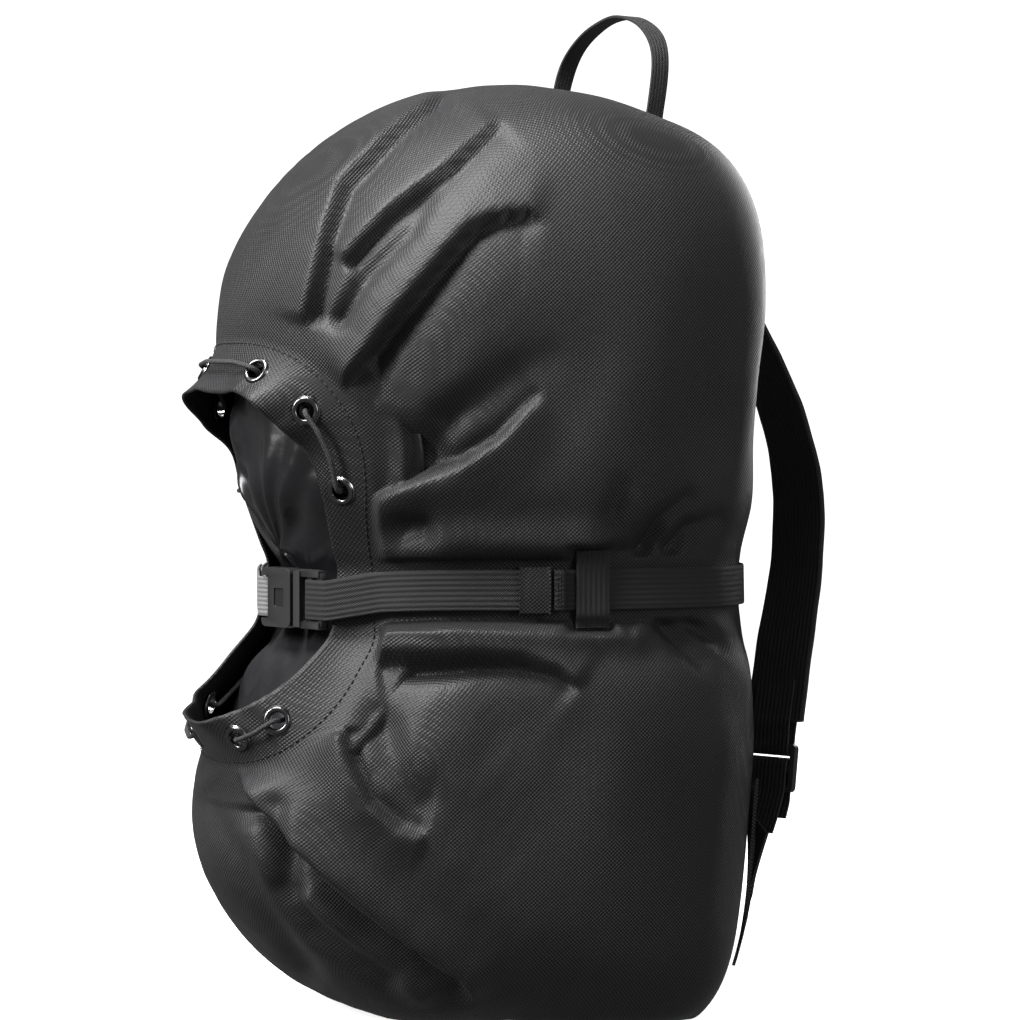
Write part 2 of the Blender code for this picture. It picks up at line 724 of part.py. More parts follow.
def cord_route():
    """The drawcord's whole route: in and out of the eyelets, and through the cord lock at both ends."""
    lock = lock_frame()
    order = (8, 7, 6, 5, 4, 3, 2, 1, 10, 9)
    share = 1 - EYELET_INSET / HEM_W

    def over_hem(degrees, side):
        return hem_point(math.radians(degrees), share, side * CORD_LIFT - WALL / 2)

    def through(number, side, lean_in, lean_out):
        """Points through an eyelet, leaning towards the points before and after them."""
        frame = eyelet_frame(EYELET_ANGLES[number - 1])
        corners = []
        for height, lean in ((side * CORD_LIFT, lean_in), (side * CORD_BEND, None),
                             (-side * CORD_BEND, None), (-side * CORD_LIFT, lean_out)):
            corner = frame @ Vector((0, 0, height))
            if lean:
                corner += (lean - corner).normalized() * CORD_LEAN
            corners.append(corner)
        return corners

    def span(here, ahead, side):
        """Points along the hem between two eyelets, on one side of it."""
        first, second = EYELET_ANGLES[here - 1], EYELET_ANGLES[ahead - 1]
        gap = (second - first + 180) % 360 - 180
        count = max(2, round(abs(gap) / 11))
        return [over_hem(first + gap * k / count, side) for k in range(1, count)]

    enter = [lock @ Vector((x, 0, CORD_GAP)) for x in (-CORD_TAIL, 0.012)]
    leave = [lock @ Vector((x, 0, -CORD_GAP)) for x in (0.012, -CORD_TAIL)]
    spans, side = [], 1
    for here, ahead in zip(order, order[1:]):
        side = -side
        spans.append(span(here, ahead, side))
    spans = [enter, *spans, leave]
    points, side = [*enter], 1
    for k, here in enumerate(order):
        points += through(here, side, spans[k][-1], spans[k + 1][0])
        points += spans[k + 1]
        side = -side
    return points


def make_drawcord():
    return tube("drawcord", cord_route(), CORD_R, cord_black())


def lock_frame():
    """Frame of the cord lock: X along the cords, Y along its button, Z away from the sack."""
    x, z = LOCK_AT
    out = skin_normal(x, z)
    return frame_at(Vector((x, front_y(x, z), z)) + out * (LOCK_R + 0.0012), out)


def make_cord_lock():
    """A barrel with a spring-loaded button: both have a slot that the two cord ends pass through."""
    frame = lock_frame() @ Matrix.Rotation(math.radians(-90), 4, "X")
    bore = LOCK_R - LOCK_WALL
    button_r = bore - 0.0003
    barrel = lathe("cord_lock_barrel", [
        (0.0, LOCK_BOTTOM), (LOCK_R - 0.001, LOCK_BOTTOM), (LOCK_R, LOCK_BOTTOM + 0.001),
        (LOCK_R, LOCK_TOP - 0.0008), (LOCK_R - 0.0008, LOCK_TOP), (bore, LOCK_TOP),
        (bore, LOCK_BOTTOM + 0.0015), (0.0, LOCK_BOTTOM + 0.0015)
    ], buckle_plastic())
    button = lathe("cord_lock_button", [
        (0.0, BUTTON_BOTTOM), (button_r, BUTTON_BOTTOM), (button_r, BUTTON_TOP - 0.0014),
        (button_r - 0.0012, BUTTON_TOP - 0.0002), (0.0, BUTTON_TOP)
    ], buckle_plastic())
    slot_z = CORD_GAP + CORD_R + 0.0006
    low = -CORD_R - 0.0004
    far = LOCK_R + 0.002
    cut(barrel, "barrel_slot", (-far, -slot_z, low), (far, slot_z, -low))
    cut(button, "button_slot", (-far, -slot_z, low), (far, slot_z, LOCK_TRAVEL - low))
    coil = []
    for k in range(33):
        share = k / 32
        a = SPRING_TURNS * 2 * math.pi * share
        height = SPRING_SPAN[0] + (SPRING_SPAN[1] - SPRING_SPAN[0]) * share
        coil.append(Vector((SPRING_R * math.cos(a), SPRING_R * math.sin(a), height)))
    spring = tube("cord_lock_spring", coil, SPRING_WIRE_R, spring_steel())
    for obj in (barrel, button, spring):
        place(obj, frame)


def lathe(name, profile, mat, steps=18):
    """A solid turned about Z from a profile that starts and ends on the axis."""
    obj = solid_of_turning(name, profile, Matrix.Identity(4), steps)
    obj.data.materials.clear()
    obj.data.materials.append(mat)
    obj.hide_render = False
    obj.display_type = "TEXTURED"
    return obj


def place(obj, frame):
    """Moves an object and its cutters from its own frame into the sack's."""
    for modifier in obj.modifiers:
        if modifier.type == "BOOLEAN":
            modifier.object.matrix_world = frame @ modifier.object.matrix_world
    obj.matrix_world = frame @ obj.matrix_world


# ---- compression strap and buckle ----------------------------------------------------------------


def buckle_frame():
    """X along the strap towards +X, Y up, Z out of the sack."""
    ahead, behind = strap_point(BUCKLE_AT + 0.006), strap_point(BUCKLE_AT - 0.006)
    out = (ahead - behind).cross(Vector((0, 0, 1))).normalized()
    return frame_at(strap_point(BUCKLE_AT, BUCKLE_LIFT), out)


def arc_along(degrees_before_x):
    """Distance along the strap's path to the point this many degrees before +X on the side arc."""
    return FRONT_ARC_R * FRONT_ARC_HALF + SIDE_ARC_R * (
        math.pi / 2 - FRONT_ARC_HALF - math.radians(degrees_before_x)
    )


def turn_round(frame, x, radius, start, end, steps=6):
    """Points of a webbing's turn round a bar: angles are from local X towards local Z."""
    points = []
    for k in range(steps + 1):
        a = math.radians(start + (end - start) * k / steps)
        points.append(frame @ Vector((x + radius * math.cos(a), 0, radius * math.sin(a))))
    return points


def make_compression_webbing():
    """One length of webbing: its folded tail, back to the ladder bar, round it and round the sack."""
    frame = buckle_frame()
    tail_end = arc_along(TAIL_END)
    points = [strap_point(tail_end - TAIL_FOLD, 2 * LAYER_H)]
    points.append(strap_point(tail_end - 0.001, 2 * LAYER_H))
    points.append(strap_point(tail_end, 1.5 * LAYER_H))
    points.append(strap_point(tail_end - 0.001, LAYER_H))
    settled = BUCKLE_AT + 0.052
    count = 16
    for k in range(1, count + 1):
        points.append(strap_point(tail_end + (settled - tail_end) * k / count, LAYER_H))
    points.append(frame @ Vector((WEBBING_CLEAR, 0, BAR_TURN)))
    points += turn_round(frame, BAR_AT, BAR_TURN, 90, 270)
    points.append(frame @ Vector((WEBBING_CLEAR, 0, -BAR_TURN)))
    half = HALF_ALONG[-1]
    far_end = -FAR_LAP
    start = BUCKLE_AT + 0.045
    count = round((2 * half - start + far_end) / 0.012)
    for k in range(count + 1):
        along = start + (2 * half + far_end - start) * k / count
        points.append(strap_point(along if along <= half else along - 2 * half))
    return ribbon("compression_webbing", points, (0, 0, 1), WEBBING_W, WEBBING_T, webbing_black())


def make_female_webbing():
    """The short grey webbing that holds the buckle's other half, sewn over the long strap's far end."""
    frame = buckle_frame()
    points = [strap_point(-FAR_LAP + 0.006 - 0.016 * k / 2, 2 * LAYER_H) for k in (2, 1, 0)]
    points.append(frame @ Vector((-WEBBING_CLEAR, 0, BAR_TURN)))
    points += turn_round(frame, FEMALE_BAR_AT, BAR_TURN, 90, -90)
    points.append(frame @ Vector((-WEBBING_CLEAR, 0, -BAR_TURN)))
    points += [strap_point(-FAR_LAP + 0.006 - 0.024 * k / 3, LAYER_H) for k in range(4)]
    return ribbon("buckle_short_webbing", points, (0, 0, 1), WEBBING_W, WEBBING_T, webbing_grey())


def make_buckle_female():
    """The socket: a rounded box, open at one end and at both sides, with a bar for the webbing."""
    outline = rounded(-BUCKLE_END, SOCKET_MOUTH, -BUCKLE_HALF_W, BUCKLE_HALF_W, 0.0030)
    body = plate("buckle_female", outline, (), -SOCKET_HALF_T, SOCKET_HALF_T, buckle_plastic())
    top = SOCKET_HALF_T + 0.002
    wide = BUCKLE_HALF_W + 0.002
    slot = SLOT_HALF_W
    cut(body, "socket", (-0.0172, -SOCKET_HALF_H, -0.0024), (0.0030, SOCKET_HALF_H, 0.0024))
    cut(body, "window_up", (WINDOW[0], 0.0100, -0.0024), (WINDOW[1], wide, 0.0024))
    cut(body, "window_low", (WINDOW[0], -wide, -0.0024), (WINDOW[1], -0.0100, 0.0024))
    cut(body, "slot", (-0.0218, -slot, -top), (-0.0186, slot, top))
    cut(body, "bar_front", (-0.0260, -slot, TAB_HALF_T), (-0.0190, slot, top))
    cut(body, "bar_rear", (-0.0260, -slot, -top), (-0.0190, slot, -TAB_HALF_T))
    cut(body, "recess", (-0.0130, -0.0045, 0.0033), (-0.0050, 0.0045, top))
    place(body, buckle_frame())


def make_buckle_male():
    """The ladder half: a frame with two slots and side rails, and a tongue that enters the socket."""
    outline = rounded(0.0032, BUCKLE_END, -BUCKLE_HALF_W, BUCKLE_HALF_W, 0.0030)
    slots = [rounded(low, high, -0.0107, 0.0107, 0.0006, 1)
             for low, high in ((0.0088, BAR_AT), (0.0162, 0.0212))]
    body = plate("buckle_male", outline, slots, -TAB_HALF_T, TAB_HALF_T, buckle_plastic())
    join(body, "rail_up", (0.0040, 0.0113, -RAIL_HALF_T), (0.0236, 0.0145, RAIL_HALF_T))
    join(body, "rail_low", (0.0040, -0.0145, -RAIL_HALF_T), (0.0236, -0.0113, RAIL_HALF_T))
    join(body, "root", (0.0030, -0.0140, -0.0034), (0.0084, 0.0140, 0.0034))
    join(body, "tongue", (-0.0150, -0.0022, -0.0016), (0.0045, 0.0022, 0.0016))
    place(body, buckle_frame())


def make_prongs():
    """The two side prongs, each turning about its root as it is squeezed in."""
    arm = [(0.0026, 0.0078), (0.0026, 0.0112), (-0.0030, 0.0116), (-0.0062, 0.0120), (-0.0062, 0.0146),
           (-0.0110, 0.0142), (-0.0158, 0.0116), (-0.0158, 0.0094), (-0.0100, 0.0086)]
    frame = buckle_frame()
    pivot = frame @ Vector((PRONG_PIVOT[0], PRONG_PIVOT[1], 0))
    for name, side in (("prong_upper", 1), ("prong_lower", -1)):
        outline = [(x, y * side) for x, y in arm]
        obj = plate(name, outline[::side], (), -PRONG_HALF_T, PRONG_HALF_T, buckle_plastic())
        obj.data.transform(frame)
        centre = pivot if side > 0 else frame @ Vector((PRONG_PIVOT[0], -PRONG_PIVOT[1], 0))
        tidy_origin(obj, centre)


def make_tail_keeper():
    """A fabric sleeve round the strap and its tail."""
    inner = (WEBBING_W / 2 + 0.0005, -WEBBING_T / 2 - 0.00035, LAYER_H + WEBBING_T / 2 + 0.00035)
    wall = 0.0007
    verts, faces, steps = [], [], 5
    for k in range(steps + 1):
        along = arc_along(SLEEVE_SPAN[0] + (SLEEVE_SPAN[1] - SLEEVE_SPAN[0]) * k / steps)
        for grow in (wall, 0.0):
            for up, out in ((-1, 0), (1, 0), (1, 1), (-1, 1)):
                height = inner[2] + grow if out else inner[1] - grow
                p = strap_point(along, height)
                p.z += up * (inner[0] + grow)
                verts.append(p)
    for k in range(steps):
        a, b = 8 * k, 8 * k + 8
        for i in range(4):
            j = (i + 1) % 4
            faces.append((a + i, a + j, b + j, b + i))
            faces.append((a + 4 + j, a + 4 + i, b + 4 + i, b + 4 + j))
    for end in (0, 8 * steps):
        for i in range(4):
            j = (i + 1) % 4
            faces.append((end + i, end + j, end + 4 + j, end + 4 + i))
    sleeve = add_mesh("tail_keeper", verts, faces, sack_cloth())
    sx, sy = side_arc_centre()
    tidy_origin(sleeve, (sx, sy, WAIST_Z))


def skin_at(theta, z):
    """Point of the skin in the direction theta from the middle at height z."""
    direction = np.array([[math.cos(theta), math.sin(theta), 0.0]])
    far = float(reach(np.array([[0.0, 0.0, z]]), direction)[0])
    return Vector((far * math.cos(theta), far * math.sin(theta), z))


def make_side_keepers():
    """A webbing loop sewn to each side of the sack, over the strap."""
    middle = strap_point(arc_along(sum(KEEPER_SPAN) / 2))
    theta = math.atan2(middle.y, middle.x)
    width = SIDE_ARC_R * math.radians(KEEPER_SPAN[0] - KEEPER_SPAN[1])
    normal = (strap_point(arc_along(sum(KEEPER_SPAN) / 2), 0.01) - middle).normalized()
    across = Vector((0, 0, 1)).cross(normal)
    over = WEBBING_T + 0.0004
    points = []
    for dz, strap_side in ((0.019, 0), (0.0165, 0), (0.0125, 1), (0.008, 1), (0, 1), (-0.008, 1),
                           (-0.0125, 1), (-0.0165, 0), (-0.019, 0)):
        skin = skin_at(theta, WAIST_Z + dz)
        low = (skin - middle).dot(normal) + 0.0019
        height = max(low, over) if strap_side else low
        base = Vector((middle.x, middle.y, WAIST_Z + dz))
        points.append(base + normal * height)
    for name, side in (("side_keeper_right", 1), ("side_keeper_left", -1)):
        mirrored = [Vector((p.x * side, p.y, p.z)) for p in points]
        ribbon(name, mirrored, (across.x * side, across.y, across.z), width, WEBBING_T, webbing_black())


# ---- back pad, shoulder straps and handle --------------------------------------------------------


def pad_faces(x, z):
    """Depth of the pad's inner and outer faces."""
    inner = back_y(x, z) + 0.0012
    edge = max(0.0, 1 - abs(x / PAD_HALF_X) ** 5) ** 0.5
    thick = float(smooth_table(PAD_PROFILE, z, 1))
    return inner, inner + COVER_T + (thick - COVER_T) * edge


def slab(name, xs, zs, depths, mat):
    """A closed slab over a grid in X and Z, between the two depths at each place."""
    pairs = [[depths(x, z) for x in xs] for z in zs]
    verts = []
    for side in (0, 1):
        for z, row in zip(zs, pairs):
            verts += [(x, pair[side], z) for x, pair in zip(xs, row)]
    nx, nz = len(xs), len(zs)
    half, faces = nx * nz, []
    for j in range(nz - 1):
        for i in range(nx - 1):
            a = j * nx + i
            faces.append((a, a + 1, a + nx + 1, a + nx))
            faces.append((half + a, half + a + nx, half + a + nx + 1, half + a + 1))
    for a, b in border_of(nz, nx):
        faces.append((a, half + a, half + b, b))
    return add_mesh(name, verts, faces, mat)


def border_of(rows, columns):
    """Pairs of neighbouring points round the edge of a grid that is numbered row by row."""
    border = [*range(columns)]
    border += [j * columns + columns - 1 for j in range(1, rows)]
    border += [(rows - 1) * columns + i for i in range(columns - 2, -1, -1)]
    border += [j * columns for j in range(rows - 2, 0, -1)]
    return zip(border, border[1:] + border[:1])


def make_back_pad():
    """The pad's cloth cover, and the foam sheet that it holds against the sack."""
    zs = [row[0] for row in PAD_PROFILE]
    zs = sorted({*zs, 0.035, 0.062, 0.10, 0.275, 0.34, 0.40})
    shares = (-1, -0.97, -0.9, -0.75, -0.5, -0.25, 0, 0.25, 0.5, 0.75, 0.9, 0.97, 1)

    def cover(x, z):
        inner, outer = pad_faces(x, z)
        return max(outer - COVER_T, inner), outer

    def filling(x, z):
        inner, outer = pad_faces(x, z)
        return inner + 0.0001, max(outer - COVER_T - 0.0004, inner + 0.0004)

    slab("back_pad_cover", [PAD_HALF_X * s for s in shares], zs, cover, pad_cloth())
    inner_zs = [z for z in zs if 0.03 < z < 0.412]
    slab("back_foam", [PAD_HALF_X * s for s in shares[2:-2]], inner_zs, filling, foam())


def mirrored_copy(obj, name):
    """The same piece on the other side."""
    mesh = obj.data.copy()
    mesh.transform(Matrix.Diagonal((-1, 1, 1, 1)))
    mesh.flip_normals()
    copy = bpy.data.objects.new(name, mesh)
    copy.location = (-obj.location.x, obj.location.y, obj.location.z)
    bpy.context.scene.collection.objects.link(copy)
    return copy


def harness_frame():
    """Frame of the right ladder lock: X across the strap to the spine, Y up along it, Z backwards."""
    x = Vector(LADDER_ACROSS).normalized()
    y = Vector(LADDER_UP)
    y = (y - x * y.dot(x)).normalized()
    return Matrix.Translation(LADDER_AT) @ Matrix((x, y, x.cross(y))).transposed().to_4x4()


def make_harness():
    """Shoulder strap, sewn tab, ladder lock, lower webbing and the fabric wing, on both sides."""
    frame = harness_frame()
    turn = LADDER_T / 2 + 0.0003 + WEBBING_T / 2
    axis = frame.to_3x3().col[0]

    end = frame @ Vector((0, 0.022, 0))
    route = spline([*SHOULDER_ROUTE, end], 0.012)

    def across(share):
        return Vector((-1, 0, 0)).lerp(axis, share).normalized()

    strap = ribbon("shoulder_strap_right", route, across, SHOULDER_W, SHOULDER_T, webbing_black())

    lap = SHOULDER_T / 2 + 0.0008 + WEBBING_T / 2
    top = (strap_at(route, 0.022), strap_at(route, 0.010))
    out = frame.to_3x3().col[2]
    tab_points = [p + out * lap for p in (*top, end)]
    tab_points.append(frame @ Vector((0, 0.015, turn)))
    for k in range(7):
        a = math.radians(90 - 180 * k / 6)
        tab_points.append(frame @ Vector((0, 0.0085 - turn * math.cos(a), turn * math.sin(a))))
    tab_points.append(frame @ Vector((0, 0.015, -turn)))
    tab_points += [p - out * lap for p in (end, top[1], top[0])]
    tab = ribbon("strap_tab_right", tab_points, axis, LOWER_W, WEBBING_T, webbing_black())

    ladder = plate("ladder_lock_right", rounded(-0.0165, 0.0165, -0.0125, 0.0120, 0.0025),
                   [rounded(-0.0132, 0.0132, 0.0020, 0.0085, 0.0006, 1),
                    rounded(-0.0132, 0.0132, -0.0090, -0.0025, 0.0006, 1)], -LADDER_T / 2, LADDER_T / 2,
                   buckle_plastic())
    ladder.data.transform(frame)
    tidy_origin(ladder, frame @ Vector((0, 0.0102, 0)))

    lower = [frame @ Vector((0, y, turn + drift)) for y, drift in LOWER_TAIL]
    for k in range(7):
        a = math.radians(90 - 180 * k / 6)
        lower.append(frame @ Vector((0, 0.0020 + turn * math.cos(a), turn * math.sin(a))))
    lower += [frame @ Vector((0, y, -turn - drift)) for y, drift in LOWER_DRIFT]
    webbing = ribbon("lower_webbing_right", lower, axis, LOWER_W, WEBBING_T, webbing_black())

    wing = make_wing(frame, turn)
    for obj, name in ((strap, "shoulder_strap"), (tab, "strap_tab"), (ladder, "ladder_lock"),
                      (webbing, "lower_webbing"), (wing, "strap_wing")):
        mirrored_copy(obj, name + "_left")


def strap_at(route, distance):
    """Point on the shoulder strap's centreline, this far before its end."""
    total = 0.0
    for a, b in zip(route[::-1], route[-2::-1]):
        step = (b - a).length
        if total + step >= distance:
            return a.lerp(b, (distance - total) / step)
        total += step
    return route[0]


def make_wing(frame, turn):
    """The fabric wing from the sack's back corner to the lower webbing's sewn end."""
    ends = []
    for x, (y, drift) in ((LOWER_W / 2, LOWER_DRIFT[1]), (-LOWER_W / 2, LOWER_DRIFT[3])):
        ends.append(frame @ Vector((x, y, -turn - drift - WEBBING_T / 2 - 0.0022 - WING_T / 2)))
    grid, steps = [], 5
    for i in range(steps + 1):
        across = i / steps
        z = WING_SEAM[0] + (WING_SEAM[1] - WING_SEAM[0]) * across
        skin = skin_at(WING_THETA, z)
        seam = skin + Vector((math.cos(WING_THETA), math.sin(WING_THETA), 0)) * 0.0032
        tip = ends[0].lerp(ends[1], across)
        grid.append([seam.lerp(tip, j / steps) for j in range(steps + 1)])
    return thick_patch("strap_wing_right", grid, WING_T, sack_cloth())


def thick_patch(name, grid, thick, mat):
    """A closed sheet over a grid of points."""
    n, m = len(grid), len(grid[0])
    verts = []
    for side in (0.5, -0.5):
        for i in range(n):
            for j in range(m):
                u = grid[min(i + 1, n - 1)][j] - grid[max(i - 1, 0)][j]
                v = grid[i][min(j + 1, m - 1)] - grid[i][max(j - 1, 0)]
                verts.append(grid[i][j] + u.cross(v).normalized() * thick * side)
    half, faces = n * m, []
    for i in range(n - 1):
        for j in range(m - 1):
            a = i * m + j
            faces.append((a, a + 1, a + m + 1, a + m))
            faces.append((half + a, half + a + m, half + a + m + 1, half + a + 1))
    for a, b in border_of(n, m):
        faces.append((a, half + a, half + b, b))
    return add_mesh(name, verts, faces, mat)


def make_handle():
    """The webbing grab handle on the top's back edge."""
    foot = Vector((HANDLE_HALF, HANDLE_Y, 0))
    foot.z = top_z(foot.x, foot.y) + HANDLE_LIFT
    peak = Vector((0, HANDLE_Y + HANDLE_LEAN, HANDLE_TOP))
    route = []
    for k in range(25):
        a = math.pi * k / 24
        bow = 1 + 0.10 * math.sin(2 * a) ** 2
        x = HANDLE_HALF * math.cos(a) * bow
        rise = math.sin(a) ** 0.75 if 0 < k < 24 else 0.0
        route.append(Vector((x, foot.y + (peak.y - foot.y) * rise, foot.z + (peak.z - foot.z) * rise)))
    handle = ribbon("grab_handle", route, (0, 1, 0), HANDLE_W, HANDLE_T, webbing_black())
    tidy_origin(handle, (0, foot.y, foot.z))


def top_z(x, y):
    start = np.array([[x, y, 0.2]])
    return 0.2 + float(reach(start, np.array([[0.0, 0.0, 1.0]]))[0])


def main():
    clear_scene()
    sack = make_sack()
    make_lining()
    make_eyelets(sack)
    make_drawcord()
    make_cord_lock()
    make_compression_webbing()
    make_female_webbing()
    make_buckle_female()
    make_buckle_male()
    make_prongs()
    make_tail_keeper()
    make_side_keepers()
    make_back_pad()
    make_harness()
    make_handle()


main()
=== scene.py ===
import json
import math

import bmesh
import bpy
import numpy as np
from mathutils import Matrix, Vector

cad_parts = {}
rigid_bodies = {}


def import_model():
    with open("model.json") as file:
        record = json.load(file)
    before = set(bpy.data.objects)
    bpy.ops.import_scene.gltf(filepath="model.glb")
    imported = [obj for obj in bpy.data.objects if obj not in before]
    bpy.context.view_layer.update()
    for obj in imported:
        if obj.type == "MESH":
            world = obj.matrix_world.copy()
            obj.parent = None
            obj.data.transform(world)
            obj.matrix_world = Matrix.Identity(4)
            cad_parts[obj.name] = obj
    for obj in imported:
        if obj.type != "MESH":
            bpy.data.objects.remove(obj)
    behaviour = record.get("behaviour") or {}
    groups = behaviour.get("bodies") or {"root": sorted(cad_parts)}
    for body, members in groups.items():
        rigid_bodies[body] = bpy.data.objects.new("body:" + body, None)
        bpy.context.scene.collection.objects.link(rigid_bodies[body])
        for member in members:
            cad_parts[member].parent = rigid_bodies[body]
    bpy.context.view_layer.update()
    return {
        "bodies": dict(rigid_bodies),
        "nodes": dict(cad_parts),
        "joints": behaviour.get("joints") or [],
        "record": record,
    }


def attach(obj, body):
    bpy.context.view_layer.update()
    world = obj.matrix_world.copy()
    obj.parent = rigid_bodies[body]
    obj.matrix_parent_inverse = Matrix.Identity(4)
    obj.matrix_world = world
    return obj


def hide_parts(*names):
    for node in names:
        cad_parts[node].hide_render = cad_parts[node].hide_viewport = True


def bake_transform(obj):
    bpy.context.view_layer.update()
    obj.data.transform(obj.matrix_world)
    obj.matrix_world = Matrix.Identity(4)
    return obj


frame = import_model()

# ---- sizes shared with the CAD model, in metres --------------------------------------------------

# the stuffed sack, and the point that its cloth's rings turn about
TOP_Z = 0.472
TOP_SLOPE = 0.14
CROWN_Z = 0.33
FOOT_Z = 0.12
FOOT_DEPTH = 0.012
# How square the top and the foot are in profile: at the front, and what is added towards the back
TOP_SQUARE = (1.85, 2.4)
FOOT_SQUARE = (2.3, 5.0)
CORE = Vector((0.0, 0.0, 0.219))

# the strap's path round the waist: its height, its dip at the buckle and the arcs of its plan
WAIST_Z = 0.221
WAIST_DIP = 0.007
WAIST_DIP_REACH = 0.06
FRONT_ARC_R = 0.10
FRONT_ARC_Y = -0.0136
FRONT_ARC_HALF = math.radians(40)
SIDE_ARC_R = 0.18
BACK_CORNER_R = 0.045
BACK_ARC_R = 0.40
BACK_ARC_Y = 0.110
STRAP_TO_SKIN = 0.0024
PAD_AT_WAIST = 0.0055

# the mouth, its hem and its eyelets, whose angles are in degrees round the mouth from +X
MOUTH_Z = 0.238
MOUTH_HALF_X = 0.080
MOUTH_HALF_Z = 0.107
MOUTH_POWER = 3.2
MOUTH_SQUEEZE = 0.26
HEM_W = 0.024
HEM_FLARE_TOP = 0.016
HEM_FLARE_BOTTOM = 0.022
EYELET_INSET = 0.0105
EYELET_ANGLES = (72, 40, 10, -54, -75, -97, -128, 171, 140, 104)
LACING = (8, 7, 6, 5, 4, 3, 2, 1, 10, 9)  # the eyelets' numbers in the drawcord's order

EYELET_HALF_T = 0.0015
EYELET_FLANGE_R = 0.0074
EYELET_BARREL_R = 0.0052
EYELET_HOLE_R = 0.0042
LINING_OVERLAP = 0.012
LINING_DEPTH = 0.0102

# the drawcord and its lock
CORD_R = 0.00125
CORD_LIFT = 0.0052
CORD_BEND = 0.0030
CORD_LEAN = 0.0018
CORD_TAIL = 0.020
CORD_GAP = 0.0016
LOCK_AT = (-0.101, 0.272)
LOCK_R = 0.0074

# the waist strap. Its tail, sleeve and keeper are placed in degrees before +X on the side arc
WEBBING_W = 0.020
WEBBING_T = 0.0013
LAYER_H = 0.0019
FAR_LAP = 0.050
TAIL_END = 20.3
TAIL_FOLD = 0.0062
TAIL_TACKS = (0.0020, 0.0034, 0.0048)  # rows of stitches, before the tail's end
SLEEVE_SPAN = (27.6, 22.8)
SLEEVE_WALL = 0.0007
KEEPER_SPAN = (18.8, 13.4)
KEEPER_RISES = (0.019, 0.0165, 0.0125, 0.008)  # heights over the strap's middle that its loop goes through
KEEPER_OVER_STRAP = 0.015

# the side-release buckle, in its own frame
BUCKLE_AT = 0.0175
BUCKLE_LIFT = 0.0032
BAR_AT = 0.0128
FEMALE_BAR_AT = -0.0218
BAR_TURN = 0.00215
BUCKLE_HALF_W = 0.0150
BUCKLE_ROUND = 0.0036
SOCKET_SPAN = (-0.0245, 0.0010)
SOCKET_HALF_T = 0.0040
SOCKET_BAR_SLOTS = (-0.0260, -0.0190)
CAVITY_HALF_T = 0.0024
PRONG_WINDOW = (-0.0168, -0.0042)
SLOT_HALF_W = 0.0108
LADDER_SPAN = (0.0032, 0.0245)
LADDER_SLOTS = ((0.0088, 0.0128), (0.0162, 0.0212))
PRONG_HALF_T = 0.0019
PRONG = (
    (0.0026, 0.0078), (0.0026, 0.0112), (-0.0030, 0.0116), (-0.0062, 0.0120), (-0.0062, 0.0146),
    (-0.0110, 0.0142), (-0.0158, 0.0116), (-0.0158, 0.0094), (-0.0100, 0.0086)
)

# handle, shoulder straps, ladder locks, wings and back pad
SHOULDER_W = 0.038
SHOULDER_T = 0.0028
LOWER_W = 0.025
HANDLE_W = 0.010
HANDLE_T = 0.0016
HANDLE_HALF = 0.053
HANDLE_Y = 0.072
HANDLE_LEAN = 0.010
HANDLE_TOP = 0.515
HANDLE_BOW = 0.10
HANDLE_LIFT = 0.0030
SHOULDER_ROUTE = (
    (0.052, 0.1220, 0.378), (0.057, 0.1215, 0.358), (0.063, 0.1305, 0.334), (0.068, 0.1415, 0.305),
    (0.073, 0.1475, 0.268), (0.079, 0.1430, 0.228), (0.085, 0.1330, 0.192)
)
LADDER_AT = Vector((0.096, 0.1170, 0.126))
LADDER_ACROSS = (-0.95, -0.31, 0.0)
LADDER_UP = (-0.10, 0.10, 1.0)
LADDER_T = 0.003
LOCK_PLATE = (-0.0165, 0.0165, -0.0125, 0.0120)
LOCK_WINDOWS = ((0.0020, 0.0085), (-0.0090, -0.0025))
TAB_BAR_AT = 0.0085  # the ladder lock's two bars, along it
LOWER_BAR_AT = 0.0020
LOWER_TAIL = ((-0.026, -0.002), (-0.018, 0.0), (-0.009, 0.0))
LOWER_DRIFT = ((-0.012, 0.0), (-0.018, 0.0014), (-0.025, 0.0034), (-0.034, 0.0066))
WING_T = 0.0022
WING_THETA = math.radians(41)
WING_SEAM = (0.122, 0.026)
COVER_T = 0.0013
PAD_HALF_X = 0.074

# height: thickness of the back pad there
PAD_PROFILE = (
    (0.020, 0.0026),
    (0.030, 0.0070),
    (0.050, 0.0130),
    (0.090, 0.0110),
    (0.130, 0.0075),
    (0.165, 0.0085),
    (0.192, 0.0070),
    (0.206, 0.0048),
    (0.236, 0.0048),
    (0.252, 0.0070),
    (0.300, 0.0090),
    (0.380, 0.0090),
    (0.408, 0.0065),
    (0.418, 0.0028),
)

# height: size of the section there against the waist's section, at the front, the sides and the back
SECTION = (
    (0.000, 1.24, 1.00, 0.88),
    (0.050, 1.33, 1.06, 0.93),
    (0.100, 1.37, 1.09, 0.97),
    (0.150, 1.30, 1.10, 1.00),
    (0.178, 1.14, 1.07, 1.00),
    (0.198, 1.01, 1.01, 1.00),
    (0.206, 1.00, 1.00, 1.00),
    (0.221, 1.00, 1.00, 1.00),
    (0.230, 1.00, 1.00, 1.00),
    (0.240, 1.04, 1.01, 1.00),
    (0.262, 1.13, 1.06, 1.01),
    (0.300, 1.23, 1.09, 1.04),
    (0.350, 1.28, 1.10, 1.06),
    (0.420, 1.28, 1.10, 1.07),
    (0.480, 1.25, 1.08, 1.07),
)

# The main view, in degrees and metres, and its light
VIEW_AZIMUTH = 62
VIEW_ELEVATION = 2.0
VIEW_CENTRE = Vector((0.0068, 0.0129, 0.2564))
VIEW_WIDTH = 0.5304
LENS = 135
SENSOR = 36

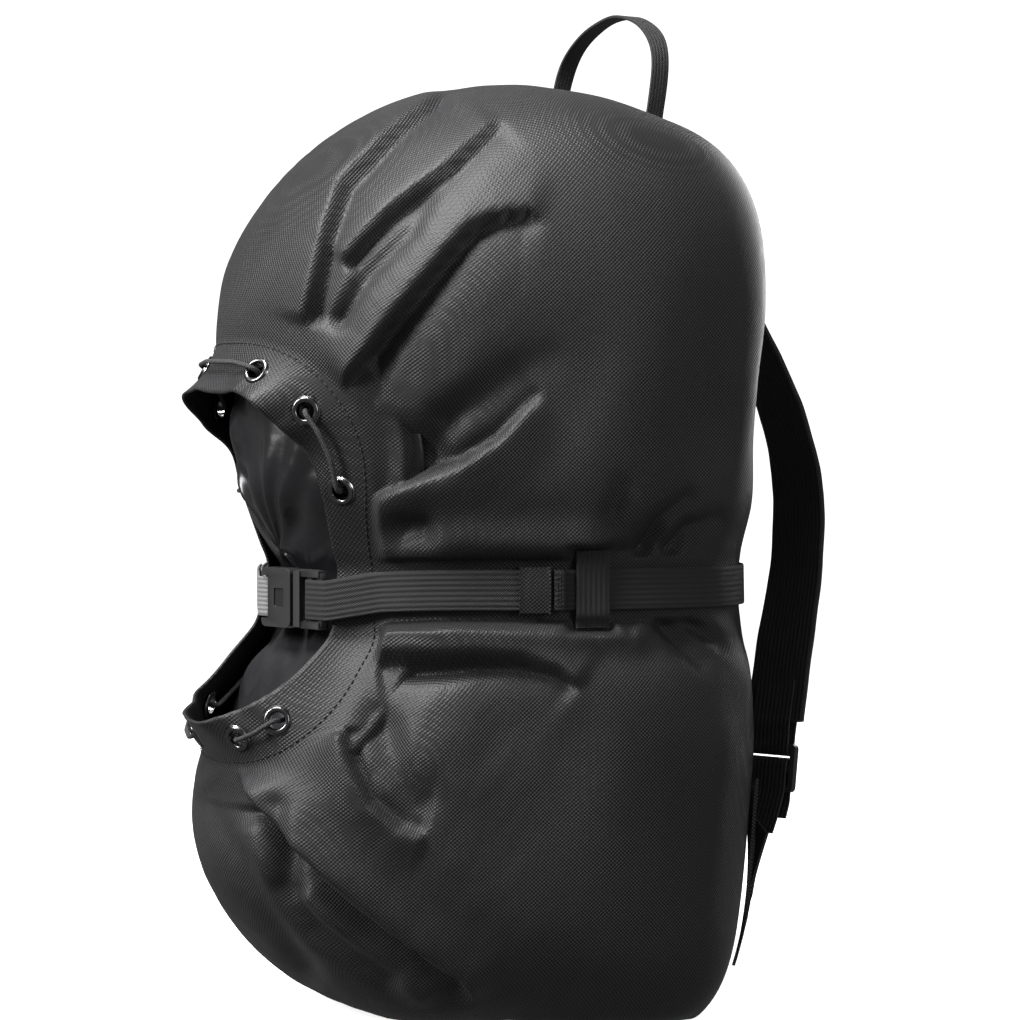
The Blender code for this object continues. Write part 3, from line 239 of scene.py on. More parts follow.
FLOOR_GLOW = 0.84
BACKDROP_GLOW = 1.05
FILL = 0.16
LIGHT_AIM = Vector((0, 0, 0.25))
# name: place from the aim, to the view's right, towards the camera and up; width, height and power
LIGHTS = (
    ("overhead", -0.5, 0.35, 1.2, 0.6, 0.6, 34),
    ("front_left", -1.6, 0.8, 0.9, 0.45, 0.8, 40),
    ("rear", 1.0, -1.3, 0.5, 0.9, 0.9, 16),
    ("front_right", 1.2, 1.5, 0.5, 0.6, 1.0, 9),
)

# The cloth's grid, how much finer it is after the simulation, and the simulation's settings
COLUMNS = 132
HEM_ROWS = 16
SKIN_ROWS = 80
FINER = 4
CLOTH = {
    "quality": 7,
    "mass": 0.25,
    "air_damping": 4,
    "tension_stiffness": 30,
    "compression_stiffness": 30,
    "shear_stiffness": 12,
    "bending_stiffness": 1.2,
    "tension_damping": 12,
    "compression_damping": 12,
    "pin_stiffness": 1.0,
    "shrink_min": -0.035,  # the cloth is cut this much larger than its form
    "use_pressure": True,
    "uniform_pressure_force": 0.2,
}
SIM_FRAMES = 20
SIM_CAP = 0.004
LOOSE_GOAL = 0.10
RUFFLE = 0.007

# Folds of the sack's cloth, as seen from the main view: each is a line of (right, up), its height at
# its two ends and its half width, in millimetres. A crease is below the cloth and a ridge above it.
FOLDS = (
    (((-52, 246), (-44, 246)), -6, -6, 8),
    (((-41, 411), (-49, 393), (-70, 373), (-84, 350)), -1, -5, 5),
    (((-78, 268), (-62, 286), (-40, 285)), -9, -6, 11),
    (((-57, 240), (-20, 241), (26, 241), (48, 241)), 4, 5, 9),
    (((-30, 300), (0, 322), (18, 330)), -5, -1, 9),
    (((-67, 192), (-30, 194), (20, 193), (60, 194)), 5, 4, 8),
    (((-64, 152), (-58, 134), (-46, 114)), -4, -3, 9),
    (((72, 207), (79, 197), (95, 181)), -5, -2, 5),
    (((84, 207), (92, 199), (106, 190)), -4, -2, 4),
    (((62, 207), (58, 196)), -4, -1, 5),
    (((66, 236), (74, 250), (88, 262)), -5, -2, 5),
    (((80, 236), (88, 246), (102, 252)), -5, -2, 5),
    (((52, 236), (50, 252), (56, 268)), -4, -1, 6),
    (((-113, 110), (-112, 70), (-96, 50), (-60, 24)), -3, -4, 6),
    (((-155, 108), (-124, 65), (-103, 25)), -2, -3, 8),
    (((-100, 64), (-76, 40), (-44, 16)), 4, 2, 6),
    (((-128, 96), (-118, 60), (-104, 40)), 3, 1, 7),
)

# Laps, where cloth on the left of the line lies over cloth on its right: the same, with the step's height.
LAPS = (
    (((-100, 345), (-94, 371), (-88, 397), (-82, 418), (-57, 446), (-30, 471)), 5, 3, 9),
    (((-84, 376), (-58, 402), (-30, 424), (-3, 451)), 5, 2, 8),
    (((-97, 299), (-82, 315), (-58, 347), (-30, 381), (-18, 394), (-6, 399), (8, 401), (20, 398)),
     9, 3, 10),
    (((18, 314), (8, 306), (-6, 291), (-25, 279), (-54, 269), (-81, 259)), 2, 9, 11),
    (((-67, 181), (-39, 182), (-18, 183), (6, 182), (24, 177), (36, 168)), 8, 4, 9),
    (((-40, 98), (-54, 102), (-68, 114), (-77, 132), (-82, 150)), 3, 6, 9),
    (((-142, 132), (-118, 104), (-104, 89), (-78, 65), (-50, 42), (-25, 24), (-16, 10)), 12, 4, 10),
)
LAP_EDGE = 1.4  # half width of the step itself, in millimetres
FOLD_GAIN = 1.5

# Small forms of the cloth
HANDLE_DIMPLE = 0.0014  # the sack gives a little under the handle's feet
OVER_COLLAR = 0.0030  # folds go no deeper than this where the collar lies behind the sack's wall
GATHER = 0.0042  # depth of the pleats that the drawcord gathers round the mouth
GATHER_REACH = 0.042
GATHER_IN_VIEW = 0.15  # share of them kept on the side that has the listed folds
PLEATS = 8
PUCKER = 0.0022  # depth of the short puckers over and under the strap
PUCKER_REACH = 0.016
CRUMPLE = 0.00025
SHELL_T = 0.0014
COLLAR_T = 0.0006
COLLAR_GRID = (46, 150)
COLLAR_BULGE = 0.013
COLLAR_PLEAT = 0.0022
COLLAR_CREASE = 0.0012
HEM_SEWN_AT = 0.10  # share of the hem's width between its stitch line and the row of stitches
PAD_GRID = (130, 60)
PAD_SEAM_IN = 0.009  # the pad's row of stitches, in from its edge, and how deep it pulls the cover
PAD_SEAM_DEPTH = 0.0016
PIPING_R = 0.0014
BACK_FOLD = 0.0019  # height of the soft folds that are out of the main view

# What holds the cloth down: the distances from it over which its hold fades out
STRAP_HOLD = (0.0140, 0.0185)
PAD_HOLD = (PAD_HALF_X - 0.004, PAD_HALF_X + 0.012)
PAD_TOP_HOLD = (0.41, 0.44)
KEEPER_HOLD = (0.008, 0.016)
KEEPER_END_HOLD = (0.019, 0.026)
WING_HOLD = (0.010, 0.022)
FOOT_HOLD = (0.020, 0.034)
SHOULDER_HOLD = (0.024, 0.036)
CORNER_R = 0.15  # distance of the sack's back corner from its middle
FACING_VIEW = (-0.05, 0.3)  # how far a face turns to the main view over which its folds come in

# Stitches: length, gap and radius
SEAM_STITCH = (0.0026, 0.0011, 0.00034)
BOX_STITCH = (0.0022, 0.0008, 0.0003)
TACK_STITCH = (0.0015, 0.0005, 0.00028)
BAR_STITCH = (0.0015, 0.0004, 0.00028)


# ---- the camera, floor and lights ----------------------------------------------------------------


def view_axes():
    """Right, and towards the camera, of the main view."""
    a, e = math.radians(VIEW_AZIMUTH), math.radians(VIEW_ELEVATION)
    right = Vector((math.cos(a), math.sin(a), 0))
    toward = Vector((math.sin(a) * math.cos(e), -math.cos(a) * math.cos(e), math.sin(e)))
    return right, toward


def make_camera():
    _, toward = view_axes()
    data = bpy.data.cameras.new("camera")
    data.lens = LENS
    data.sensor_width = SENSOR
    camera = bpy.data.objects.new("camera", data)
    camera.location = VIEW_CENTRE + toward * (VIEW_WIDTH * LENS / SENSOR)
    camera.rotation_euler = (-toward).to_track_quat("-Z", "Y").to_euler()
    bpy.context.scene.collection.objects.link(camera)
    bpy.context.scene.camera = camera


def make_light(name, place, width, height, power):
    data = bpy.data.lights.new(name, "AREA")
    data.shape = "RECTANGLE"
    data.size, data.size_y = width, height
    data.energy = power
    light = bpy.data.objects.new(name, data)
    light.location = place
    light.rotation_euler = (LIGHT_AIM - place).to_track_quat("-Z", "Y").to_euler()
    bpy.context.scene.collection.objects.link(light)


def make_stage():
    """A pale floor and a white backdrop that only the camera sees, a low fill and four soft lights."""
    bpy.ops.mesh.primitive_circle_add(vertices=96, radius=3.0, fill_type="NGON", location=(0, 0, -0.0004))
    floor = bpy.context.object
    floor.name = "studio_floor"
    bpy.ops.mesh.primitive_uv_sphere_add(segments=64, ring_count=32, radius=9.0)
    dome = bpy.context.object
    dome.name = "studio_backdrop"
    dome.visible_transmission = dome.visible_shadow = False
    for obj in (floor, dome):
        obj.visible_diffuse = obj.visible_glossy = False
    for obj, glow in ((floor, FLOOR_GLOW), (dome, BACKDROP_GLOW)):
        white = plain(obj.name + "_white", (0.9, 0.9, 0.9), 0.95)
        shader = white.node_tree.nodes["Principled BSDF"]
        shader.inputs["Emission Color"].default_value = (1, 1, 1, 1)
        shader.inputs["Emission Strength"].default_value = glow
        obj.data.materials.append(white)
    world = bpy.data.worlds.new("studio")
    world.use_nodes = True
    background = world.node_tree.nodes["Background"]
    background.inputs["Color"].default_value = (1, 1, 1, 1)
    background.inputs["Strength"].default_value = FILL
    bpy.context.scene.world = world
    bpy.context.scene.view_settings.view_transform = "Standard"
    right, toward = view_axes()
    for name, aside, near, up, width, height, power in LIGHTS:
        place = LIGHT_AIM + right * aside + toward * near + Vector((0, 0, up))
        make_light(name, place, width, height, power)


# ---- materials -----------------------------------------------------------------------------------


def plain(name, colour, roughness, metallic=0.0):
    made = bpy.data.materials.new(name)
    made.use_nodes = True
    shader = made.node_tree.nodes["Principled BSDF"]
    shader.inputs["Base Color"].default_value = (*colour, 1)
    shader.inputs["Roughness"].default_value = roughness
    shader.inputs["Metallic"].default_value = metallic
    return made


class Graph:
    """A short way to write a material's node graph."""

    def __init__(self, made):
        self.tree = made.node_tree
        self.shader = self.tree.nodes["Principled BSDF"]

    def node(self, kind, **values):
        made = self.tree.nodes.new(kind)
        for name, value in values.items():
            setattr(made, name, value)
        return made

    def put(self, value, socket):
        if hasattr(value, "is_output"):
            self.tree.links.new(value, socket)
        else:
            socket.default_value = value

    def math(self, operation, a, b=0.0):
        made = self.node("ShaderNodeMath", operation=operation)
        self.put(a, made.inputs[0])
        self.put(b, made.inputs[1])
        return made.outputs[0]

    def coordinates(self, uv=False):
        made = self.node("ShaderNodeTexCoord")
        split = self.node("ShaderNodeSeparateXYZ")
        self.put(made.outputs["UV" if uv else "Object"], split.inputs[0])
        return made.outputs["UV" if uv else "Object"], split.outputs

    def noise(self, vector, scale, detail=3.0, roughness=0.55):
        made = self.node("ShaderNodeTexNoise")
        self.put(vector, made.inputs["Vector"])
        made.inputs["Scale"].default_value = scale
        made.inputs["Detail"].default_value = detail
        made.inputs["Roughness"].default_value = roughness
        return made.outputs["Fac"]

    def ramp(self, factor, low, high, colours):
        made = self.node("ShaderNodeValToRGB")
        made.color_ramp.elements[0].position, made.color_ramp.elements[1].position = low, high
        made.color_ramp.elements[0].color = (*colours[0], 1)
        made.color_ramp.elements[1].color = (*colours[1], 1)
        self.put(factor, made.inputs[0])
        return made.outputs[0]

    def span(self, factor, low, high):
        made = self.node("ShaderNodeMapRange")
        self.put(factor, made.inputs["Value"])
        made.inputs["To Min"].default_value, made.inputs["To Max"].default_value = low, high
        return made.outputs[0]

    def bump(self, height, distance, strength=1.0, normal=None):
        made = self.node("ShaderNodeBump")
        made.inputs["Distance"].default_value = distance
        made.inputs["Strength"].default_value = strength
        self.put(height, made.inputs["Height"])
        if normal:
            self.put(normal, made.inputs["Normal"])
        return made.outputs[0]

    def wave(self, along, period):
        return self.math("SINE", self.math("MULTIPLY", along, 2 * math.pi / period))

    def weave(self, a, b, period):
        """Height of a plain weave over two coordinates: threads that pass over and under each other."""
        return self.math("MULTIPLY", self.wave(a, period), self.wave(b, period))

    def shade(self, colour, roughness, normal, others=None):
        """Joins these to the shader, and sets its other inputs that are given by name."""
        sockets = {"Base Color": colour, "Roughness": roughness, "Normal": normal, **(others or {})}
        for name, value in sockets.items():
            self.put(value, self.shader.inputs[name])


def cloth_material(name, dark, light, period, roughness, depth, sheen):
    """Woven nylon: its weave is laid over the piece from three sides and blended by which way it faces."""
    made = plain(name, light, roughness)
    g = Graph(made)
    vector, (x, y, z) = g.coordinates()
    facing = g.node("ShaderNodeNewGeometry")
    split = g.node("ShaderNodeSeparateXYZ")
    g.put(facing.outputs["True Normal"], split.inputs[0])
    height = 0.0
    for across, up, way in ((y, z, 0), (x, z, 1), (x, y, 2)):
        share = g.math("POWER", g.math("ABSOLUTE", split.outputs[way]), 3.0)
        height = g.math("ADD", height, g.math("MULTIPLY", g.weave(across, up, period), share))
    patches = g.noise(vector, 7.0, 4.0)
    fuzz = g.noise(vector, 900.0, 2.0)
    tone = g.math("ADD", g.math("MULTIPLY", height, 0.5), g.math("MULTIPLY", patches, 0.6))
    tone = g.math("ADD", tone, g.math("MULTIPLY", fuzz, 0.1))
    soft = g.bump(g.noise(vector, 38.0, 3.0), 0.0012, 0.35)
    g.shade(g.ramp(tone, 0.15, 0.85, (dark, light)),
            g.span(patches, roughness - 0.07, roughness + 0.08), g.bump(height, depth, 1.0, soft),
            {"Sheen Weight": sheen, "Sheen Roughness": 0.45, "Specular IOR Level": 0.28})
    return made


def webbing_material(name, dark, light, rib, cross):
    """Webbing: ribs along it, crossed by fine picks. UV is in metres, across and along."""
    made = plain(name, light, 0.62)
    g = Graph(made)
    _, (u, v, _) = g.coordinates(uv=True)
    ribs, picks = g.wave(u, rib), g.weave(u, v, cross)
    height = g.math("ADD", g.math("MULTIPLY", ribs, 0.55), g.math("MULTIPLY", picks, 0.6))
    vector, _ = g.coordinates()
    patches = g.noise(vector, 25.0)
    tone = g.math("ADD", g.math("MULTIPLY", height, 0.25), patches)
    g.shade(g.ramp(tone, 0.2, 0.9, (dark, light)), g.span(patches, 0.5, 0.72),
            g.bump(height, 0.00028, 0.9), {"Sheen Weight": 0.05})
    return made


def lining_material():
    """Thin coated cloth: glossy, with small puckers."""
    made = plain("lining_visual", (0.012, 0.012, 0.014), 0.24)
    g = Graph(made)
    vector, _ = g.coordinates()
    broad = g.noise(vector, 26.0)
    fine = g.noise(vector, 160.0, 2.0)
    g.shade(g.ramp(broad, 0.3, 0.8, ((0.008, 0.008, 0.009), (0.022, 0.022, 0.025))),
            g.span(broad, 0.2, 0.36), g.bump(fine, 0.0004, 0.3, g.bump(broad, 0.004, 0.6)),
            {"Specular IOR Level": 0.6})
    return made


def plastic_material():
    """Moulded acetal with a fine sparked surface, and paler sharp edges that are a painted highlight."""
    made = plain("buckle_visual", (0.018, 0.018, 0.019), 0.36)
    g = Graph(made)
    vector, _ = g.coordinates()
    edge = g.node("ShaderNodeNewGeometry").outputs["Pointiness"]
    # Painted highlight: the colour turns paler where the surface is sharply convex, by its Pointiness.
    g.shade(g.ramp(edge, 0.52, 0.6, ((0.016, 0.016, 0.017), (0.06, 0.06, 0.062))),
            g.span(g.noise(vector, 60.0), 0.3, 0.46), g.bump(g.noise(vector, 2600.0, 2.0), 0.00006, 0.5))
    return made


def eyelet_material():
    """Black nickel plating with faint brushing, and bright rims that are a painted highlight."""
    made = plain("eyelet_visual", (0.12, 0.12, 0.125), 0.2, 1.0)
    g = Graph(made)
    vector, _ = g.coordinates()
    edge = g.node("ShaderNodeNewGeometry").outputs["Pointiness"]
    # Painted highlight: the colour turns much brighter on the sharply convex rims, by their Pointiness.
    g.shade(g.ramp(edge, 0.5, 0.62, ((0.07, 0.07, 0.073), (0.45, 0.45, 0.46))),
            g.span(g.noise(vector, 300.0), 0.14, 0.3), g.bump(g.noise(vector, 900.0), 0.00004, 0.3))
    return made


def cord_material(name, dark, light, strand):
    """Braided cord or thread: two sets of strands wound opposite ways. UV is round and along, in metres."""
    made = plain(name, light, 0.6)
    g = Graph(made)
    _, (u, v, _) = g.coordinates(uv=True)
    one, two = (g.wave(g.math(way, u, v), strand) for way in ("ADD", "SUBTRACT"))
    height = g.math("MAXIMUM", one, two)
    g.shade(g.ramp(height, 0.0, 1.0, (dark, light)), g.span(height, 0.75, 0.5),
            g.bump(height, strand / 4, 0.9))
    return made


# ---- small helpers -------------------------------------------------------------------------------


def smoothstep(low, high, value):
    t = np.clip((np.asarray(value, float) - low) / (high - low), 0, 1)
    return t * t * (3 - 2 * t)


def within(band, distance):
    """1 up to the band's first distance, fading to 0 at its second."""
    return 1 - smoothstep(*band, distance)


def smooth_table(rows, at, column):
    """Value of a table's column at a height, on a smooth curve through its rows."""
    rows = np.array(rows, float)
    x, y = rows[:, 0], rows[:, column]
    slope = np.gradient(y, x)
    at = np.clip(np.asarray(at, float), x[0], x[-1])
    i = np.clip(np.searchsorted(x, at, side="right") - 1, 0, len(x) - 2)
    h = x[i + 1] - x[i]
    t = (at - x[i]) / h
    a = (2 * t**3 - 3 * t**2 + 1) * y[i] + (t**3 - 2 * t**2 + t) * h * slope[i]
    b = (3 * t**2 - 2 * t**3) * y[i + 1] + (t**3 - t**2) * h * slope[i + 1]
    return a + b


def even(points, step):
    """The same polyline with evenly spaced points."""
    p = np.array([list(q) for q in points])
    along = np.concatenate([[0], np.cumsum(np.linalg.norm(np.diff(p, axis=0), axis=1))])
    count = max(2, round(along[-1] / step) + 1)
    at = np.linspace(0, along[-1], count)
    return [Vector([np.interp(s, along, p[:, k]) for k in range(3)]) for s in at]


def spline(points, step):
    """Evenly spaced points on a smooth curve through the given points."""
    points = [Vector(p) for p in points]
    ends = [points[0] * 2 - points[1], *points, points[-1] * 2 - points[-2]]
    dense = []
    for a, b, c, d in zip(ends, ends[1:], ends[2:], ends[3:]):
        for k in range(16):
            t = k / 16
            dense.append(
                0.5 * (2 * b + (c - a) * t + (2 * a - 5 * b + 4 * c - d) * t * t
                       + (3 * b - a - 3 * c + d) * t**3)
            )
    dense.append(points[-1])
    return even(dense, step)


def flipped(p, side):
    """The point itself on side 1, and its mirror image in X on side -1."""
    return Vector((p.x * side, p.y, p.z))


def softened(points, step, rounds):
    """An evenly spaced polyline with its corners rounded off."""
    p = np.array([list(q) for q in even(points, step)])
    for _ in range(rounds):
        p[1:-1] = (p[:-2] + 2 * p[1:-1] + p[2:]) / 4
    return [Vector(q) for q in p]


def thicken(obj, thickness):
    """Gives a skin its wall, inwards."""
    wall = obj.modifiers.new("wall", "SOLIDIFY")
    wall.thickness = thickness
    wall.offset = -1


def make_object(name, mesh, mat, body, replaced=()):
    obj = bpy.data.objects.new(name, mesh)
    bpy.context.scene.collection.objects.link(obj)
    mesh.materials.append(mat)
    if body:
        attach(obj, body)
    if replaced:
        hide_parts(*replaced)
    return obj


def mesh_from(name, verts, faces, uvs=None, sharp=40):
    """A mesh with its normals turned outwards. uvs holds one pair for each corner of each face."""
    mesh = bpy.data.meshes.new(name)
    mesh.from_pydata([tuple(v) for v in verts], [], faces)
    if uvs is not None:
        layer = mesh.uv_layers.new(name="metres")
        layer.data.foreach_set("uv", np.array(uvs, float).ravel())
    bm = bmesh.new()
    bm.from_mesh(mesh)
    bmesh.ops.recalc_face_normals(bm, faces=bm.faces)
    bm.to_mesh(mesh)
    bm.free()
    mesh.shade_smooth()
    mesh.set_sharp_from_angle(angle=math.radians(sharp))
    return mesh


def running(path):
    """Each point of a path, its direction there and its distance along the path."""
    last, run = len(path) - 1, 0.0
    for i, p in enumerate(path):
        if i:
            run += (p - path[i - 1]).length
        yield p, (path[min(i + 1, last)] - path[max(i - 1, 0)]).normalized(), run


def swept_faces(runs, spans):
    """Faces between rings of points, with their UV: spans has each face's two places on its ring."""
    n, faces, uvs = len(spans), [], []
    for i, (v0, v1) in enumerate(zip(runs, runs[1:])):
        a, b = n * i, n * i + n
        for k, (u0, u1) in enumerate(spans):
            j = (k + 1) % n
            faces.append((a + k, a + j, b + j, b + k))
            uvs += [(u0, v0), (u1, v0), (u1, v1), (u0, v1)]
    return faces, uvs


def ribbon(name, path, across, width, thick, waviness=0.0):
    """Webbing: a flat strip with rounded selvedges, and UV in metres across and along."""
    path = [Vector(p) for p in path]
    last = len(path) - 1
    half = width / 2
    spots = [-1, -0.975, -0.9, -0.6, -0.3, 0, 0.3, 0.6, 0.9, 0.975, 1]
    loop = [(s, 1) for s in spots] + [(s, -1) for s in spots[::-1]]
    n = len(loop)
    verts, runs = [], []
    for i, (p, along, run) in enumerate(running(path)):
        side = Vector(across(i / last) if callable(across) else across)
        side = (side - along * side.dot(along)).normalized()
        up = along.cross(side)
        runs.append(run)
        sway = waviness * math.sin(run * 90) + waviness * 0.6 * math.sin(run * 211 + 1)
        for s, u in loop:
            plump = 0.45 if abs(s) == 1 else 0.85 if abs(s) > 0.95 else 1.0
            verts.append(p + side * (s * half) + up * (u * thick / 2 * plump + sway * s))
    faces, uvs = swept_faces(runs, [(loop[k][0] * half, loop[(k + 1) % n][0] * half) for k in range(n)])
    for start, at in ((0, runs[0]), (n * last, runs[-1])):
        for k in range(len(spots) - 1):
            face = (start + k, start + k + 1, start + n - 2 - k, start + n - 1 - k)
            faces.append(face)
            uvs += [(loop[q - start][0] * half, at) for q in face]
    return mesh_from(name, verts, faces, uvs, 60)


def tube_mesh(name, points, radius, sides=14):
    """A round cord along the points, with UV in metres round and along."""
    points = [Vector(p) for p in points]
    side = Vector((0, 0, 1)).cross(points[1] - points[0]).normalized()
    verts, runs = [], []
    for p, along, run in running(points):
        side = (side - along * side.dot(along)).normalized()
        other = along.cross(side)
        runs.append(run)
        for k in range(sides):
            a = 2 * math.pi * k / sides
            verts.append(p + (side * math.cos(a) + other * math.sin(a)) * radius)
    verts += [points[0], points[-1]]
    turn = 2 * math.pi * radius / sides
    faces, uvs = swept_faces(runs, [(turn * k, turn * (k + 1)) for k in range(sides)])
    last = (len(points) - 1) * sides
    for start, tip, v in ((0, len(verts) - 2, 0), (last, len(verts) - 1, runs[-1])):
        for k in range(sides):
            faces.append((start + k, start + (k + 1) % sides, tip))
            uvs += [(turn * k, v)] * 3
    return mesh_from(name, verts, faces, uvs, 60)


def turned_mesh(name, profile, frame, steps=48, solid=False):
    """A ring turned from a closed profile of (radius, height), or a solid if its ends are on the axis."""
    ring = profile[1:-1] if solid else profile
    verts = []
    for k in range(steps):
        a = 2 * math.pi * k / steps
        verts += [frame @ Vector((r * math.cos(a), r * math.sin(a), h)) for r, h in ring]
    n, faces = len(ring), []
    for k in range(steps):
        a, b = k * n, ((k + 1) % steps) * n
        for i in range(n - 1 if solid else n):
            j = (i + 1) % n
            faces.append((a + i, b + i, b + j, a + j))
    if solid:
        verts += [frame @ Vector((0, 0, profile[0][1])), frame @ Vector((0, 0, profile[-1][1]))]
        for k in range(steps):
            a, b = k * n, ((k + 1) % steps) * n
            faces += [(len(verts) - 2, a, b), (len(verts) - 1, b + n - 1, a + n - 1)]
    return mesh_from(name, verts, faces, None, 50)


def frame_at(origin, axis, hint=(0, 0, 1)):
    """Matrix whose Z axis is axis, placed at origin."""
    z = Vector(axis).normalized()
    x = Vector(hint).cross(z).normalized()
    return Matrix.Translation(origin) @ Matrix((x, z.cross(x), z)).transposed().to_4x4()


def stitched(name, points, normals, mat, body, stitch=SEAM_STITCH):
    """Thread: short rounded stitches along a line that lies on a surface."""
    length, gap, radius = stitch
    p = np.array([list(q) for q in points])
    n = np.array([list(q) for q in normals])
    along = np.concatenate([[0], np.cumsum(np.linalg.norm(np.diff(p, axis=0), axis=1))])
    verts, faces = [], []

    def at(s, array):
        return Vector([np.interp(s, along, array[:, k]) for k in range(3)])

    start = gap
    while start + length < along[-1]:
        a, b, up = at(start, p), at(start + length, p), at(start + length / 2, n).normalized()
        way = (b - a).normalized()
        side = up.cross(way)
        base = len(verts)
        rows = ((0.0, 0.25), (0.18, 0.85), (0.5, 1.0), (0.82, 0.85), (1.0, 0.25))
        for share, size in rows:
            centre = a.lerp(b, share) + up * radius * (0.7 * size - 0.35)
            for k in range(6):
                turn = math.pi * k / 3
                verts.append(centre + (side * math.cos(turn) + up * math.sin(turn)) * radius * size)
        for r in range(4):
            for k in range(6):
                j = (k + 1) % 6
                q = base + r * 6
                faces.append((q + k, q + j, q + 6 + j, q + 6 + k))
        faces += [tuple(base + k for k in range(6)), tuple(base + 24 + k for k in range(6))]
        start += length + gap
    return make_object(name, mesh_from(name, verts, faces), mat, body)


# ---- the strap's path in plan --------------------------------------------------------------------


def side_arc_centre():
    reach_in = SIDE_ARC_R - FRONT_ARC_R
    return -reach_in * math.sin(FRONT_ARC_HALF), FRONT_ARC_Y + reach_in * math.cos(FRONT_ARC_HALF)


def corner_centre():
    """Centre of the back corner's arc, inside both the side arc and the back arc."""
    sx, sy = side_arc_centre()
    a, b = SIDE_ARC_R - BACK_CORNER_R, BACK_ARC_R - BACK_CORNER_R
    back, side = Vector((0, BACK_ARC_Y - BACK_ARC_R)), Vector((sx, sy))
    gap = back - side
    along = (a * a - b * b + gap.length_squared) / (2 * gap.length)
    off = math.sqrt(a * a - along * along)
    unit = gap.normalized()
    found = [side + unit * along + Vector((-unit.y, unit.x)) * off * s for s in (1, -1)]
    return max(found, key=lambda c: c.x + c.y)


def arc(cx, cy, r, start, end, step=math.radians(0.5)):
    count = max(2, math.ceil(abs(end - start) / step))
    angles = [start + (end - start) * k / count for k in range(count)]
    return [(cx + r * math.cos(a), cy + r * math.sin(a)) for a in angles]


def half_path():
    """The path from the front's middle round +X to the back's middle."""
    sx, sy = side_arc_centre()
    c = corner_centre()
    meet_side = math.atan2(c.y - sy, c.x - sx)
    meet_back = math.atan2(c.y - (BACK_ARC_Y - BACK_ARC_R), c.x)
    points = arc(0, FRONT_ARC_Y, FRONT_ARC_R, -math.pi / 2, -math.pi / 2 + FRONT_ARC_HALF)
    points += arc(sx, sy, SIDE_ARC_R, -math.pi / 2 + FRONT_ARC_HALF, meet_side)
    points += arc(c.x, c.y, BACK_CORNER_R, meet_side, meet_back)
    points += arc(0, BACK_ARC_Y - BACK_ARC_R, BACK_ARC_R, meet_back, math.pi / 2)
    return [*points, (0.0, BACK_ARC_Y)]


HALF = np.array(half_path())
HALF_ALONG = np.concatenate([[0], np.cumsum(np.linalg.norm(np.diff(HALF, axis=0), axis=1))])


def waist_radius(theta):
    """Distance from the middle to the sack's skin at the waist, in the direction theta."""
    angle = np.arctan2(HALF[:, 1], HALF[:, 0])
    radius = np.hypot(HALF[:, 0], HALF[:, 1])
    theta = np.asarray(theta, float)
    mirrored = np.arctan2(np.sin(theta), np.abs(np.cos(theta)))
    pad = PAD_AT_WAIST * smoothstep(0.70, 0.88, np.sin(theta))
    return np.interp(mirrored, angle, radius) - STRAP_TO_SKIN - pad


def strap_point(along, height=0.0):
    """Point on the strap's path, at a distance along it from the front's middle and a height over it."""
    at = abs(along)
    x, y = (np.interp(at, HALF_ALONG, HALF[:, k]) for k in (0, 1))
    ahead = [np.interp(at + 0.002, HALF_ALONG, HALF[:, k]) for k in (0, 1)]
    behind = [np.interp(at - 0.002, HALF_ALONG, HALF[:, k]) for k in (0, 1)]
    if at < 0.002:
        behind = [-ahead[0], ahead[1]]
    tangent = Vector((ahead[0] - behind[0], ahead[1] - behind[1])).normalized()
    out = Vector((tangent.y, -tangent.x))
    side = 1 if along >= 0 else -1
    dip = WAIST_DIP * math.exp(-((along / WAIST_DIP_REACH) ** 2))
    return Vector((side * (x + out.x * height), y + out.y * height, WAIST_Z - dip))


def arc_along(degrees_before_x):
    """Distance along the strap's path to the point this many degrees before +X on the side arc."""
    return FRONT_ARC_R * FRONT_ARC_HALF + SIDE_ARC_R * (
        math.pi / 2 - FRONT_ARC_HALF - math.radians(degrees_before_x)
    )


# ---- the sack's skin -----------------------------------------------------------------------------


def inside(p):
    """Whether each point lies inside the stuffed sack, ground included."""
    x, y, z = p[..., 0], p[..., 1], p[..., 2]
    theta = np.arctan2(y, x)
    front = np.clip(-np.sin(theta), 0, 1) ** 2
    back = np.clip(np.sin(theta), 0, 1) ** 2
    side = 1 - front - back
    scale = sum(w * smooth_table(SECTION, z, k) for w, k in ((front, 1), (side, 2), (back, 3)))
    lateral = np.hypot(x, y) / (waist_radius(theta) * scale)
    top = TOP_Z - TOP_SLOPE * np.clip(y, 0, None)
    rise = np.clip((z - CROWN_Z) / (top - CROWN_Z), 0, None)
    sink = np.clip((FOOT_Z - z) / (FOOT_Z + FOOT_DEPTH), 0, None)
    backness = 0.5 * (1 + np.sin(theta))
    (top_least, top_more), (foot_least, foot_more) = TOP_SQUARE, FOOT_SQUARE
    power = np.where(z > WAIST_Z, top_least + top_more * backness, foot_least + foot_more * backness)
    return (lateral**power + np.maximum(rise, sink) ** power < 1) & (z > 0)


def reach(starts, directions, most=0.45):
    """How far along each direction the skin lies."""
    low, high = np.zeros(len(directions)), np.full(len(directions), most)
    for _ in range(26):
        middle = (low + high) / 2
        is_in = inside(starts + directions * middle[:, None])
        low, high = np.where(is_in, middle, low), np.where(is_in, high, middle)
    return low


def skin_depth(x, z, way):
    """The skin's Y over each X and Z: way is -1 for the front, over the mouth too, and 1 for the back."""
    x, z = np.broadcast_arrays(np.asarray(x, float), np.asarray(z, float))
    starts = np.stack([x.ravel(), np.zeros(x.size), z.ravel()], 1)
    directions = np.tile((0.0, float(way), 0.0), (x.size, 1))
    return way * reach(starts, directions).reshape(x.shape)


def skin_at(theta, z):
    """Point of the skin in the direction theta from the middle at height z."""
    direction = np.array([[math.cos(theta), math.sin(theta), 0.0]])
    far = float(reach(np.array([[0.0, 0.0, z]]), direction)[0])
    return Vector((far * math.cos(theta), far * math.sin(theta), z))


